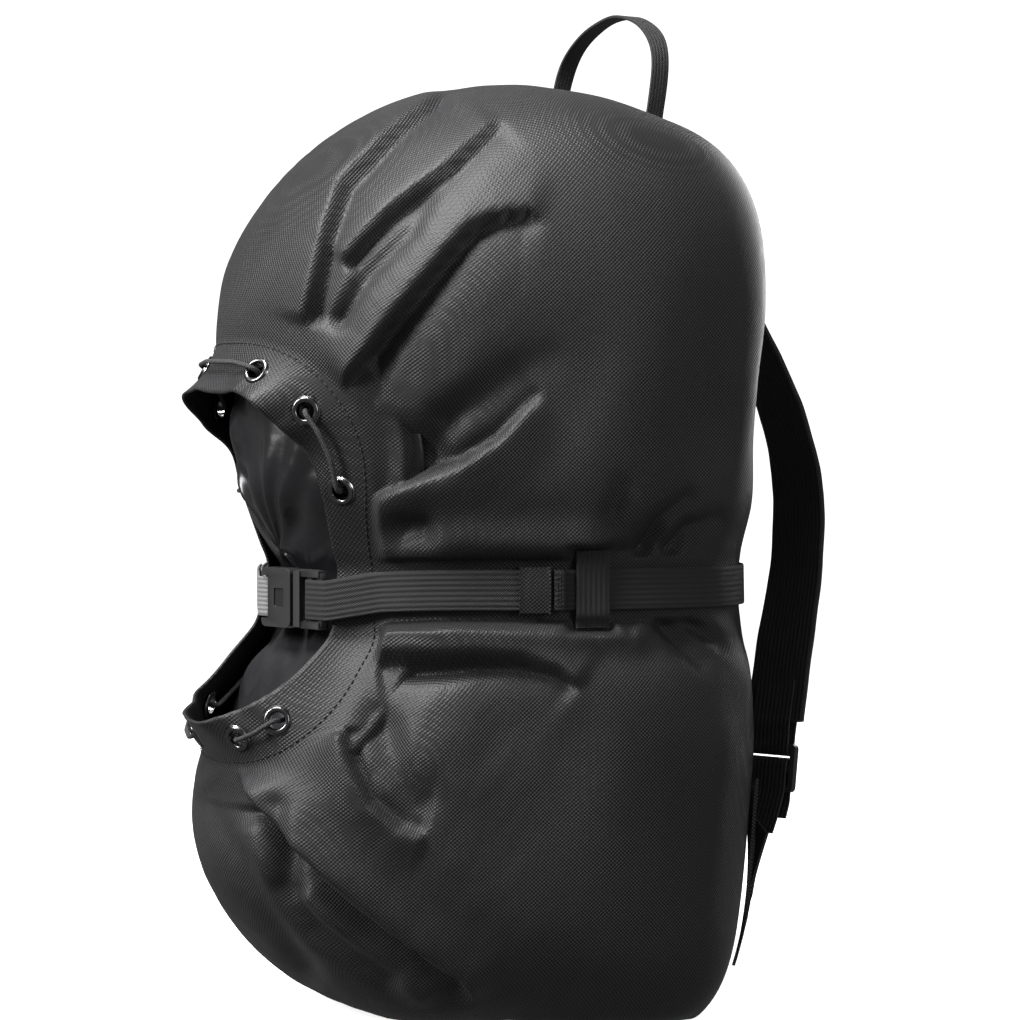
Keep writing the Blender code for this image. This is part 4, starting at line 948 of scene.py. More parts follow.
def top_z(x, y):
    start = np.array([[x, y, 0.2]])
    return 0.2 + float(reach(start, np.array([[0.0, 0.0, 1.0]]))[0])


def mouth_outline(angle, inward=0.0, scale=1.0):
    """X and Z round the mouth: a rounded oblong, narrowed where the strap squeezes it."""
    c, n = np.cos(angle), np.sin(angle)
    x = np.copysign(np.abs(c) ** (2 / MOUTH_POWER), c) * (MOUTH_HALF_X - inward) * scale
    z = MOUTH_Z + np.copysign(np.abs(n) ** (2 / MOUTH_POWER), n) * (MOUTH_HALF_Z - inward) * scale
    return x * (1 - MOUTH_SQUEEZE * np.exp(-(((z - WAIST_Z) / 0.05) ** 2))), z


def hem_points(angle, share):
    """Points of the hem's outer face: share is 0 at its stitch line and 1 at its edge."""
    angle, share = np.broadcast_arrays(np.asarray(angle, float), np.asarray(share, float))
    x, z = mouth_outline(angle, HEM_W * share)
    flare = HEM_FLARE_TOP * smoothstep(0.1, 0.9, np.sin(angle))
    flare = flare + HEM_FLARE_BOTTOM * smoothstep(0.35, 1.0, -np.sin(angle))
    return np.stack([x, skin_depth(x, z, -1) - flare * np.clip(share, 0, None) ** 1.5, z], -1)


def hem_normals(angle, share):
    """Outward normals of the hem."""
    angle, share = np.broadcast_arrays(np.asarray(angle, float), np.asarray(share, float))
    round_it = hem_points(angle + 0.03, share) - hem_points(angle - 0.03, share)
    to_edge = hem_points(angle, share + 0.05) - hem_points(angle, share - 0.05)
    normal = np.cross(round_it, to_edge)
    return normal / np.linalg.norm(normal, axis=-1, keepdims=True)


def hem_point(angle, share, lift=0.0):
    p = Vector(hem_points(angle, share))
    return p + Vector(hem_normals(angle, share)) * lift if lift else p


def skin_normal(x, z):
    """Outward normal of the front skin."""
    d = 0.004
    dydx = (skin_depth(x + d, z, -1) - skin_depth(x - d, z, -1)) / (2 * d)
    dydz = (skin_depth(x, z + d, -1) - skin_depth(x, z - d, -1)) / (2 * d)
    return Vector((float(dydx), -1.0, float(dydz))).normalized()


# ---- the sack's cloth ----------------------------------------------------------------------------


def mouth_angles(columns):
    """Angles round the mouth at which evenly turned lines about the core meet the stitch line."""
    turns = np.linspace(0, 2 * math.pi, columns, endpoint=False)
    fine = np.linspace(-math.pi / 2, 2.5 * math.pi, 6001)
    x, z = mouth_outline(fine)
    seen = np.unwrap(np.arctan2(z - CORE.z, x))
    return np.interp(turns, seen, fine)


def skin_rings(columns, rows):
    """Rings of points over the sack, from the mouth's stitch line towards the middle of the back."""
    core = np.array(CORE)
    rings = [hem_points(mouth_angles(columns), 0.0)]
    seam = rings[0] - core
    start = np.arctan2(np.hypot(seam[:, 0], seam[:, 2]), -seam[:, 1])
    turn = np.arctan2(seam[:, 2], seam[:, 0])
    for row in range(1, rows + 1):
        share = row / (rows + 1)
        polar = start + (math.pi - start) * share
        rays = np.stack([np.sin(polar) * np.cos(turn), -np.cos(polar), np.sin(polar) * np.sin(turn)], 1)
        ring = core + rays * reach(np.tile(core, (columns, 1)), rays)[:, None]
        ring[:, 2] = np.where(ring[:, 2] < 1e-6, 0, ring[:, 2])
        rings.append(ring)
    return np.array(rings)


def strap_height(x, y):
    """Height of the strap's middle where it passes each point."""
    along = np.abs(np.arctan2(x, -y)) * 0.11
    return WAIST_Z - WAIST_DIP * np.exp(-((along / WAIST_DIP_REACH) ** 2))


def near_line(points, line):
    """For each 2-D point: its distance from a polyline, the share of the line's length where it is nearest,
    and 1 or -1 for the left or right side of the line."""
    best = np.full(len(points), 1e9)
    place, side = np.zeros(len(points)), np.ones(len(points))
    line = np.array(line, float)
    lengths = np.linalg.norm(np.diff(line, axis=0), axis=1)
    done = 0.0
    for a, b, length in zip(line, line[1:], lengths):
        way = (b - a) / length
        away = points - a
        t = np.clip(away @ way / length, 0, 1)
        far = np.linalg.norm(away - t[:, None] * (b - a), axis=1)
        closer = far < best
        best = np.where(closer, far, best)
        place = np.where(closer, (done + t * length) / lengths.sum(), place)
        side = np.where(closer, np.sign(way[0] * away[:, 1] - way[1] * away[:, 0]), side)
        done += length
    return best, place, side


def grip(points):
    """How firmly each point of the cloth is held, from 0 to 1: by strap, pad and what is sewn to it."""
    x, y, z = points.T
    band = within(STRAP_HOLD, np.abs(z - strap_height(x, y)))
    pad = smoothstep(0.0, 0.05, y) * within(PAD_HOLD, np.abs(x)) * within(PAD_TOP_HOLD, z) * (y > 0.02)
    held = np.maximum(band, pad)
    keeper = strap_point(arc_along(sum(KEEPER_SPAN) / 2))
    for side in (1, -1):
        gap = np.hypot(x - side * keeper.x, y - keeper.y)
        sewn = within(KEEPER_HOLD, gap) * within(KEEPER_END_HOLD, np.abs(z - WAIST_Z))
        seam = within(WING_HOLD, np.abs(np.arctan2(y, side * x) - WING_THETA) * CORNER_R)
        foot = within(FOOT_HOLD, np.hypot(x - side * HANDLE_HALF, y - HANDLE_Y))
        top_x, _, top_end = SHOULDER_ROUTE[0]
        top = within(SHOULDER_HOLD, np.hypot(x - side * top_x, z - top_end - 0.007))
        for part in (sewn, seam * (z < WING_SEAM[0] + 0.008), foot * (z > 0.4), top * (y > 0.05)):
            held = np.maximum(held, part)
    return held


def fold_depths(points, normals):
    """How far the listed folds move each point outwards, on the side that the main view shows."""
    right, toward = view_axes()
    up = toward.cross(right)
    away = points - np.array(VIEW_CENTRE)
    flat = np.stack([away @ np.array(right), away @ np.array(up) + VIEW_CENTRE.z], 1) * 1000
    facing = smoothstep(*FACING_VIEW, normals @ np.array(toward))
    moved = np.zeros(len(points))
    for line, first, last, half in FOLDS:
        far, place, side = near_line(flat, line)
        moved += (first + (last - first) * place) * np.exp(-((far / half) ** 2))
    for line, first, last, half in LAPS:
        far, place, side = near_line(flat, line)
        over = 0.5 * (1 + np.tanh(side * far / LAP_EDGE))
        lifted = over * np.exp(-((far / (1.6 * half)) ** 2)) * 0.6
        sunk = (1 - over) * np.exp(-far / half) * 1.1
        ends = smoothstep(0.0, 0.06, place) * smoothstep(1.0, 0.92, place)
        moved += (first + (last - first) * place) * (lifted - sunk) * ends
    return moved / 1000 * facing * FOLD_GAIN


def back_folds(points, normals):
    """Soft creases on the sides that the main view doesn't show."""
    _, toward = view_axes()
    hidden = 1 - smoothstep(-0.25, 0.2, normals @ np.array(toward))
    x, y, z = points.T
    turn = np.arctan2(y, x)
    wave = np.sin(9 * turn + 26 * z + 2 * np.sin(14 * z)) * np.exp(-np.abs(z - WAIST_Z) / 0.09)
    wave = wave + 0.7 * np.sin(5 * turn - 34 * z + 1.3)
    return BACK_FOLD * wave * hidden


def seam_distance(rings):
    """Distance of each point from the stitch line, along the cloth."""
    steps = np.linalg.norm(np.diff(rings, axis=0, prepend=rings[:1]), axis=-1)
    return np.cumsum(steps, axis=0)


def gathers(far, angles):
    """Pleats that run out from the drawn-in mouth: round on top and sharp between. Slower waves round
    the mouth make each a little different in place, height and length."""
    turn = angles[None, :]
    lean = 0.5 * np.sin(3 * turn + 1.1) + 0.35 * np.sin(8 * turn) + (6 + 5 * np.sin(2 * turn)) * far
    ridge = np.abs(np.sin(PLEATS * turn + lean)) ** 0.8 - 0.55
    size = 0.65 + 0.35 * np.sin(5 * turn + 0.7)
    reach_here = GATHER_REACH * (1 + 0.5 * np.sin(4 * turn + 2.0))
    return GATHER * size * ridge * smoothstep(0.0, 0.010, far) * np.exp(-far / reach_here)


def puckers(points):
    """Short pleats where the strap squeezes the cloth, and a faint crumple near the mouth."""
    x, y, z = points.T
    along = np.arctan2(x, -y) * 0.115
    over = np.abs(z - strap_height(x, y)) - 0.0105
    wave = np.abs(np.sin(along * 170 + 2.2 * np.sin(along * 41) + z * 60)) ** 0.8 - 0.5
    size = np.clip(0.45 + 0.8 * np.sin(along * 33 + 0.8), 0, 1)
    fade = smoothstep(0, 0.004, over) * np.exp(-np.clip(over, 0, None) / PUCKER_REACH)
    a = np.sin(90 * x + 160 * z + 3 * np.sin(70 * y)) * np.sin(150 * y - 80 * z + 2 * np.sin(60 * x))
    b = np.sin(210 * z - 120 * y + 2 * np.sin(90 * x))
    front = 1 - smoothstep(-0.09, 0.01, y)
    return PUCKER * wave * size * fade + CRUMPLE * (np.abs(a) ** 0.7 - 0.5 + 0.35 * b) * front


def point_normals(rings):
    round_it = np.roll(rings, -1, 1) - np.roll(rings, 1, 1)
    along = np.gradient(rings, axis=0)
    normal = np.cross(round_it, along)
    normal /= np.maximum(np.linalg.norm(normal, axis=-1, keepdims=True), 1e-9)
    outward = np.sign(np.sum(normal * (rings - np.array(CORE)), -1).mean())
    return normal * outward


def ruffles(angles, share):
    """The hem's edge stands out or in between two eyelets, away from where the cord runs."""
    degrees = np.degrees(angles)
    order = [EYELET_ANGLES[number - 1] for number in (*LACING, LACING[0])]
    way = np.zeros(len(degrees))
    side = 1
    for a, b in zip(order, order[1:]):
        gap = (b - a + 180) % 360 - 180
        t = ((degrees - a + 180) % 360 - 180) / gap
        on = (t > 0) & (t < 1)
        size = min(abs(gap), 45) / 45
        way = np.where(on, side * size * np.sin(np.pi * np.clip(t, 0, 1)) ** 2, way)
        side = -side
    return way * share**2


def resampled(values, at, wrap):
    """Values along the first axis at fractional places, on a smooth curve through them."""
    i = np.floor(at).astype(int)
    t = (at - i).reshape(-1, *[1] * (values.ndim - 1))
    spots = [i - 1, i, i + 1, i + 2]
    size = len(values)
    a, b, c, d = (values[spot % size if wrap else np.clip(spot, 0, size - 1)] for spot in spots)
    return 0.5 * (2 * b + (c - a) * t + (2 * a - 5 * b + 4 * c - d) * t**2 + (3 * b - a - 3 * c + d) * t**3)


def blurred(field, rounds):
    """A field over the rings with its smallest waves taken out."""
    for _ in range(rounds):
        field = (np.roll(field, 1, 1) + 2 * field + np.roll(field, -1, 1)) / 4
        field[1:-1] = (field[:-2] + 2 * field[1:-1] + field[2:]) / 4
    return field


def sheet_faces(rows, columns):
    """Faces of two grids of points, one behind the other, and of the border that joins them."""
    half, faces = rows * columns, []
    for i in range(rows - 1):
        for j in range(columns - 1):
            a = i * columns + j
            faces.append((a, a + 1, a + columns + 1, a + columns))
            faces.append((half + a, half + a + columns, half + a + columns + 1, half + a + 1))
    last = (rows - 1) * columns
    border = [*range(columns), *range(2 * columns - 1, half, columns),
              *range(half - 2, last - 1, -1), *range(last - columns, 0, -columns)]
    for a, b in zip(border, border[1:] + border[:1]):
        faces.append((a, half + a, half + b, b))
    return faces


def grid_faces(rows, count):
    """Faces between rings of points, and the fan that closes the last ring at one more point."""
    faces = []
    for r in range(rows - 1):
        for k in range(count):
            j = (k + 1) % count
            faces.append((r * count + k, r * count + j, (r + 1) * count + j, (r + 1) * count + k))
    last = (rows - 1) * count
    return faces + [(last + k, last + (k + 1) % count, rows * count) for k in range(count)]


def cloth_simulated(obj, hold):
    """Lets the cloth settle for a few frames. hold is how firmly each point is held, from 0 to 1."""
    group = obj.vertex_groups.new(name="hold")
    for index, weight in enumerate(hold):
        group.add([index], float(weight), "REPLACE")
    cloth = obj.modifiers.new("cloth", "CLOTH")
    settings = cloth.settings
    for name, value in CLOTH.items():
        setattr(settings, name, value)
    settings.vertex_group_mass = "hold"
    settings.effector_weights.gravity = 0
    cloth.collision_settings.use_collision = False
    cloth.collision_settings.use_self_collision = False
    cloth.point_cache.frame_end = SIM_FRAMES
    scene = bpy.context.scene
    for frame_number in range(1, SIM_FRAMES + 1):
        scene.frame_set(frame_number)
    graph = bpy.context.evaluated_depsgraph_get()
    settled = np.zeros(len(obj.data.vertices) * 3)
    obj.evaluated_get(graph).data.vertices.foreach_get("co", settled)
    obj.modifiers.remove(cloth)
    obj.vertex_groups.remove(group)
    scene.frame_set(1)
    return settled.reshape(-1, 3)


def punched(mesh, frames, radius):
    """Takes away the faces round each eyelet's hole. The eyelet's flange covers the ragged edge."""
    bm = bmesh.new()
    bm.from_mesh(mesh)
    doomed = []
    for face in bm.faces:
        middle = face.calc_center_median()
        for place in frames:
            local = place @ middle
            if abs(local.z) < 0.006 and math.hypot(local.x, local.y) < radius:
                doomed.append(face)
                break
    bmesh.ops.delete(bm, geom=doomed, context="FACES")
    bm.to_mesh(mesh)
    bm.free()


def settled_skin():
    """The sack's skin from its stitch line back, after the cloth simulation, as coarse rings."""
    rings = skin_rings(COLUMNS, SKIN_ROWS)
    flat = rings.reshape(-1, 3)
    rows = np.repeat(np.arange(SKIN_ROWS + 1), COLUMNS)
    held = np.maximum(grip(flat), 1 - smoothstep(0, 3, rows))
    hold = np.append(LOOSE_GOAL + (1 - LOOSE_GOAL) * held, 1.0)
    pole = (CORE.x, float(skin_depth(CORE.x, CORE.z, 1)), CORE.z)
    faces = grid_faces(SKIN_ROWS + 1, COLUMNS)
    mesh = mesh_from("settling", [*map(tuple, flat), pole], faces, None, 180)
    obj = bpy.data.objects.new("settling", mesh)
    bpy.context.scene.collection.objects.link(obj)
    settled = cloth_simulated(obj, hold)[:-1]
    bpy.data.objects.remove(obj)
    move = (settled - flat).reshape(rings.shape)
    far = np.linalg.norm(move, axis=-1, keepdims=True)
    move *= np.minimum(1, SIM_CAP / np.maximum(far, 1e-9))
    return rings + blurred(move, 4)


def make_sack(mat):
    """The stuffed sack, with its hem: one skin, settled by a cloth simulation and then given the listed
    folds.
    """
    columns = COLUMNS * FINER
    skin = settled_skin()
    skin = resampled(skin, np.arange(SKIN_ROWS * FINER + 1) / FINER, False)
    skin = resampled(skin.transpose(1, 0, 2), np.arange(columns) / FINER, True).transpose(1, 0, 2)
    angles = mouth_angles(columns)
    shares = 1 - np.arange(HEM_ROWS + 1) / HEM_ROWS
    hem = np.array([hem_points(angles, share) for share in shares])
    for row, share in enumerate(shares):
        hem[row] += hem_normals(angles, share) * (RUFFLE * ruffles(angles, share))[:, None]
    rings = np.concatenate([hem, skin[1:]])
    out = point_normals(blurred(rings.copy(), 3))[HEM_ROWS + 1:].reshape(-1, 3)
    body = rings[HEM_ROWS + 1:].reshape(-1, 3)
    rows = np.repeat(np.arange(1, len(skin)), columns)
    loose = (1 - grip(body)) * smoothstep(0, 2.5 * FINER, rows)
    depths = fold_depths(body, out) + back_folds(body, out) + puckers(body)
    far = seam_distance(rings[HEM_ROWS:])
    shown = smoothstep(*FACING_VIEW, out @ np.array(view_axes()[1]))
    depths += gathers(far, angles)[1:].ravel() * (1 - (1 - GATHER_IN_VIEW) * shown)
    deepest = OVER_COLLAR + 0.03 * smoothstep(1.5 * LINING_OVERLAP, 3 * LINING_OVERLAP, far[1:].ravel())
    depths = np.maximum(depths, -deepest)
    from_foot = np.hypot(np.abs(body[:, 0]) - HANDLE_HALF, body[:, 1] - HANDLE_Y)
    dimple = HANDLE_DIMPLE * np.exp(-((from_foot / 0.012) ** 2)) * (body[:, 2] > CROWN_Z)
    body = body + out * (depths * loose - dimple)[:, None]
    body[:, 2] = np.maximum(body[:, 2], 0.0)
    rings[HEM_ROWS + 1:] = body.reshape(len(skin) - 1, columns, 3)
    verts = [*map(tuple, rings.reshape(-1, 3)), (CORE.x, float(skin_depth(CORE.x, CORE.z, 1)), CORE.z)]
    mesh = mesh_from("sack_shell", verts, grid_faces(len(rings), columns), None, 180)
    punched(mesh, [eyelet_frame(degrees).inverted() for degrees in EYELET_ANGLES], EYELET_BARREL_R + 0.0006)
    obj = make_object("sack_shell", mesh, mat, "sack", ["sack_body"])
    thicken(obj, SHELL_T)
    return obj


def hem_line(name, share, mat, lift=0.0003):
    """A line of stitches round the hem."""
    fine = np.linspace(-math.pi, math.pi, 721)
    shares = np.full(len(fine), share)
    normals = hem_normals(fine, shares)
    points = hem_points(fine, shares) + normals * (RUFFLE * ruffles(fine, shares)[:, None] + lift)
    return stitched(name, points, normals, mat, "sack")


def make_lining(mat):
    """The thin inner collar: glossy cloth in soft pleats that bulges above and below the strap."""
    rows, count = COLLAR_GRID
    angles = np.linspace(0, 2 * math.pi, count, endpoint=False)
    verts = []
    for row in range(rows):
        share = 1 - row / rows
        x, z = mouth_outline(angles, -LINING_OVERLAP, share)
        squeezed = np.exp(-(((z - WAIST_Z + WAIST_DIP) / 0.020) ** 2))
        bulge = COLLAR_BULGE * max(0.0, 1 - (share / 0.72) ** 2) * (1 - 0.75 * squeezed)
        swirl = 5 * angles + 9 * share + 1.4 * np.sin(3 * angles)
        pleat = COLLAR_PLEAT * np.sin(swirl) + COLLAR_CREASE * np.sin(11 * angles - 14 * share)
        pleat = pleat * smoothstep(1.0, 0.62, share) * (0.25 + 0.75 * smoothstep(0.0, 0.3, share))
        pleat = pleat * (1 - 0.7 * squeezed)
        y = skin_depth(x, z, -1) + LINING_DEPTH * 1.05 - bulge - pleat
        verts += list(zip(x, y, z))
    verts.append((0.0, float(skin_depth(0.0, MOUTH_Z, -1)) + LINING_DEPTH - 0.007, MOUTH_Z))
    mesh = mesh_from("collar", verts, grid_faces(rows, count), None, 180)
    obj = make_object("collar", mesh, mat, "sack", ["lining_collar"])
    thicken(obj, COLLAR_T)
    return obj


# ---- eyelets, drawcord and cord lock -------------------------------------------------------------


def eyelet_frame(degrees):
    angle, share = math.radians(degrees), 1 - EYELET_INSET / HEM_W
    n = Vector(hem_normals(angle, share))
    return frame_at(hem_point(angle, share) - n * EYELET_HALF_T, n)


def make_eyelets(mat):
    """Ten eyelets: a rolled rim, a barrel and a washer behind the hem."""
    h = EYELET_HALF_T
    rolled = [(EYELET_HOLE_R + 0.0014 + 0.0014 * math.cos(math.radians(a)),
               h + 0.0003 + 0.0012 * math.sin(math.radians(a))) for a in range(180, -1, -20)]
    profile = [
        (EYELET_HOLE_R, -h - 0.0008),
        (EYELET_FLANGE_R - 0.0004, -h - 0.0008),
        (EYELET_FLANGE_R, -h - 0.0004),
        (EYELET_FLANGE_R - 0.0004, -h),
        (EYELET_BARREL_R, -h),
        (EYELET_BARREL_R, h - 0.0004),
        (EYELET_FLANGE_R - 0.0002, h - 0.0006),
        (EYELET_FLANGE_R, h - 0.0001),
        (EYELET_FLANGE_R - 0.0004, h + 0.0004),
        *rolled[::-1],
    ]
    for number, degrees in enumerate(EYELET_ANGLES, 1):
        name = f"eyelet_ring_{number:02d}"
        mesh = turned_mesh(name, profile, eyelet_frame(degrees))
        make_object(name, mesh, mat, "sack", [f"eyelet_{number:02d}"])


def lock_frame():
    """Frame of the cord lock: X along the cords, Y along its button, Z away from the sack."""
    x, z = LOCK_AT
    out = skin_normal(x, z)
    return frame_at(Vector((x, float(skin_depth(x, z, -1)), z)) + out * (LOCK_R + 0.0012), out)


def cord_route():
    """The drawcord's whole route: in and out of the eyelets, and through the cord lock at both ends."""
    lock = lock_frame()
    share = 1 - EYELET_INSET / HEM_W

    def through(number, side, lean_in, lean_out):
        """Points that go from one side of the hem to the other, leaning towards the neighbouring points."""
        place = eyelet_frame(EYELET_ANGLES[number - 1])
        corners = []
        for height, lean in ((side * CORD_LIFT, lean_in), (side * CORD_BEND, None),
                             (-side * CORD_BEND, None), (-side * CORD_LIFT, lean_out)):
            corner = place @ Vector((0, 0, height))
            if lean:
                corner += (lean - corner).normalized() * CORD_LEAN
            corners.append(corner)
        return corners

    def span(here, ahead, side):
        """Points along the hem between two eyelets, on one side of it."""
        first, second = EYELET_ANGLES[here - 1], EYELET_ANGLES[ahead - 1]
        gap = (second - first + 180) % 360 - 180
        count = max(2, round(abs(gap) / 11))
        lift = side * CORD_LIFT - EYELET_HALF_T
        return [hem_point(math.radians(first + gap * k / count), share, lift) for k in range(1, count)]

    enter = [lock @ Vector((x, 0, CORD_GAP)) for x in (-CORD_TAIL, 0.012)]
    leave = [lock @ Vector((x, 0, -CORD_GAP)) for x in (0.012, -CORD_TAIL)]
    spans, side = [], 1
    for here, ahead in zip(LACING, LACING[1:]):
        side = -side
        spans.append(span(here, ahead, side))
    spans = [enter, *spans, leave]
    points, side = [*enter], 1
    for k, here in enumerate(LACING):
        points += through(here, side, spans[k][-1], spans[k + 1][0])
        points += spans[k + 1]
        side = -side
    return points


def make_drawcord(mat):
    route = softened(cord_route(), 0.0008, 3)
    mesh = tube_mesh("lacing_cord", route, CORD_R * 0.98)
    return make_object("lacing_cord", mesh, mat, "sack", ["drawcord"])


def make_cord_lock(plastic):
    """A barrel with a spring-loaded button, both pierced for the two cord ends."""
    place = lock_frame() @ Matrix.Rotation(math.radians(-90), 4, "X")
    bore = LOCK_R - 0.0018
    button_r = bore - 0.0003
    barrel = turned_mesh("toggle_barrel", [
        (0.0, -0.009), (LOCK_R - 0.0016, -0.009), (LOCK_R - 0.0005, -0.0087), (LOCK_R, -0.008),
        (LOCK_R, -0.0054), (LOCK_R - 0.0005, -0.005), (LOCK_R - 0.0005, -0.0042), (LOCK_R, -0.0038),
        (LOCK_R, 0.0038), (LOCK_R - 0.0005, 0.0042), (LOCK_R - 0.0005, 0.005), (LOCK_R, 0.0054),
        (LOCK_R, 0.0072), (LOCK_R - 0.0003, 0.0078), (LOCK_R - 0.0008, 0.008),
        (bore, 0.008), (bore, -0.0075), (0.0, -0.0075)
    ], Matrix.Identity(4), 40, True)
    button = turned_mesh("toggle_button", [
        (0.0, -0.0032), (button_r, -0.0032), (button_r, 0.0116), (button_r - 0.0004, 0.0124),
        (button_r - 0.0014, 0.0130), (button_r - 0.003, 0.0133), (0.0, 0.0132)
    ], Matrix.Identity(4), 40, True)
    slot_z = CORD_GAP + CORD_R + 0.0006
    low, far = -CORD_R - 0.0004, LOCK_R + 0.002
    for name, mesh, body, node, high in (
            ("toggle_barrel", barrel, "cord_lock", "cord_lock_barrel", -low),
            ("toggle_button", button, "cord_lock_button", "cord_lock_button", 0.003 - low)):
        slot = box_mesh((-far, -slot_z, low), (far, slot_z, high))
        moulded(name, mesh, [slot], [], place, plastic, body, node, None)


# ---- moulded parts -------------------------------------------------------------------------------


def rounded(l0, l1, v0, v1, r, steps=7):
    """Outline of a rectangle with round corners."""
    corners = ((l1 - r, v1 - r, 0), (l0 + r, v1 - r, 90), (l0 + r, v0 + r, 180), (l1 - r, v0 + r, 270))
    points = []
    for cx, cy, start in corners:
        for k in range(steps + 1):
            a = math.radians(start + 90 * k / steps)
            points.append((cx + r * math.cos(a), cy + r * math.sin(a)))
    return points


def plate_mesh(name, outline, holes, low, high):
    """A flat plate in the local XY plane, from height low to high, with holes through it."""
    bm = bmesh.new()
    edges = []
    for loop in (outline, *holes):
        ring = [bm.verts.new((x, y, low)) for x, y in loop]
        edges += [bm.edges.new((a, b)) for a, b in zip(ring, ring[1:] + ring[:1])]
    bmesh.ops.triangle_fill(bm, use_beauty=True, use_dissolve=False, edges=edges)
    bmesh.ops.dissolve_limit(bm, angle_limit=0.01, verts=list(bm.verts), edges=list(bm.edges))
    grown = bmesh.ops.extrude_face_region(bm, geom=list(bm.faces))
    lifted = [g for g in grown["geom"] if isinstance(g, bmesh.types.BMVert)]
    bmesh.ops.translate(bm, verts=lifted, vec=(0, 0, high - low))
    bmesh.ops.recalc_face_normals(bm, faces=bm.faces)
    mesh = bpy.data.meshes.new(name)
    bm.to_mesh(mesh)
    bm.free()
    return mesh


def box_mesh(low, high):
    (x0, y0, z0), (x1, y1, z1) = low, high
    return plate_mesh("tool", [(x0, y0), (x1, y0), (x1, y1), (x0, y1)], (), z0, z1)


def cut(obj, tools, operation="DIFFERENCE"):
    """Cuts meshes out of an object, or joins them to it, and keeps the result as its mesh."""
    for mesh in tools:
        tool = bpy.data.objects.new("tool", mesh)
        bpy.context.scene.collection.objects.link(tool)
        modifier = obj.modifiers.new("cut", "BOOLEAN")
        modifier.operation = operation
        modifier.object = tool
        graph = bpy.context.evaluated_depsgraph_get()
        result = bpy.data.meshes.new_from_object(obj.evaluated_get(graph))
        obj.modifiers.remove(modifier)
        old = obj.data
        obj.data = result
        bpy.data.meshes.remove(old)
        bpy.data.objects.remove(tool)
        bpy.data.meshes.remove(mesh)
    obj.data.shade_smooth()
    obj.data.set_sharp_from_angle(angle=math.radians(32))


def moulded(name, mesh, cuts, joins, frame, mat, body, node, edge):
    """A moulded plastic piece. Its edges are rounded, unless its mesh is already, when edge is None."""
    obj = make_object(name, mesh, mat, None)
    cut(obj, joins, "UNION")
    cut(obj, cuts)
    if edge:
        bevel = obj.modifiers.new("edges", "BEVEL")
        bevel.width = edge
        bevel.segments = 2
        bevel.limit_method = "ANGLE"
        bevel.angle_limit = math.radians(40)
        bevel.harden_normals = True
    obj.data.transform(frame)
    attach(obj, body)
    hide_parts(node)
    return obj


def bar_box(x0, x1, half_y, half_z):
    """A box with the local X axis through its middle."""
    return box_mesh((x0, -half_y, -half_z), (x1, half_y, half_z))


def box_pair(x0, x1, y0, y1, half_z):
    """A box and its mirror image across the local X axis."""
    return [box_mesh((x0, y0, -half_z), (x1, y1, half_z)), box_mesh((x0, -y1, -half_z), (x1, -y0, half_z))]


def buckle_frame():
    """X along the strap towards +X, Y up, Z out of the sack."""
    ahead, behind = strap_point(BUCKLE_AT + 0.006), strap_point(BUCKLE_AT - 0.006)
    out = (ahead - behind).cross(Vector((0, 0, 1))).normalized()
    return frame_at(strap_point(BUCKLE_AT, BUCKLE_LIFT), out)


def make_buckle(plastic):
    """A side-release buckle: a socket half on the grey webbing, and a ladder half with its two prongs."""
    place = buckle_frame()
    socket = plate_mesh("socket_half", rounded(*SOCKET_SPAN, -BUCKLE_HALF_W, BUCKLE_HALF_W, BUCKLE_ROUND),
                        (), -SOCKET_HALF_T, SOCKET_HALF_T)
    x0, x1 = SOCKET_BAR_SLOTS
    window = rounded(-0.0132, -0.0048, -0.0047, 0.0047, 0.0009)
    moulded("socket_half", socket, [
        bar_box(-0.0172, 0.0030, 0.0122, CAVITY_HALF_T),
        *box_pair(*PRONG_WINDOW, 0.0100, 0.0170, CAVITY_HALF_T),
        bar_box(-0.0218, -0.0186, SLOT_HALF_W, 0.0060),
        box_mesh((x0, -SLOT_HALF_W, 0.0012), (x1, SLOT_HALF_W, 0.0060)),
        box_mesh((x0, -SLOT_HALF_W, -0.0060), (x1, SLOT_HALF_W, -0.0012)),
        plate_mesh("tool", window, (), 0.0033, 0.0060),
    ], [], place, plastic, "buckle_female_half", "buckle_female", 0.0005)
    slots = [rounded(*span, -0.0107, 0.0107, 0.0006, 2) for span in LADDER_SLOTS]
    ladder = plate_mesh("ladder_half", rounded(*LADDER_SPAN, -BUCKLE_HALF_W, BUCKLE_HALF_W, BUCKLE_ROUND),
                        slots, -0.0012, 0.0012)
    moulded("ladder_half", ladder, [], [
        *box_pair(0.0040, 0.0236, 0.0113, 0.0145, 0.0026),
        bar_box(0.0030, 0.0084, 0.0140, 0.0034),
        bar_box(-0.0150, 0.0045, 0.0022, 0.0016),
    ], place, plastic, "sack", "buckle_male", 0.0004)
    for name, side in (("prong_upper", 1), ("prong_lower", -1)):
        mesh = plate_mesh(name, [(x, y * side) for x, y in PRONG][::side], (), -PRONG_HALF_T, PRONG_HALF_T)
        moulded(name + "_arm", mesh, [], [], place, plastic, name, name, 0.0003)


# ---- webbing of the waist strap ------------------------------------------------------------------


def turn_round(place, bar, radius, start, end, way=0, steps=14):
    """Points of a webbing's turn round a bar that is at this local X, or Y if way is 1, and at Z 0.
    The angles are from that axis towards local Z."""
    points = []
    for k in range(steps + 1):
        a = math.radians(start + (end - start) * k / steps)
        p = Vector((0, 0, radius * math.sin(a)))
        p[way] = bar + radius * math.cos(a)
        points.append(place @ p)
    return points


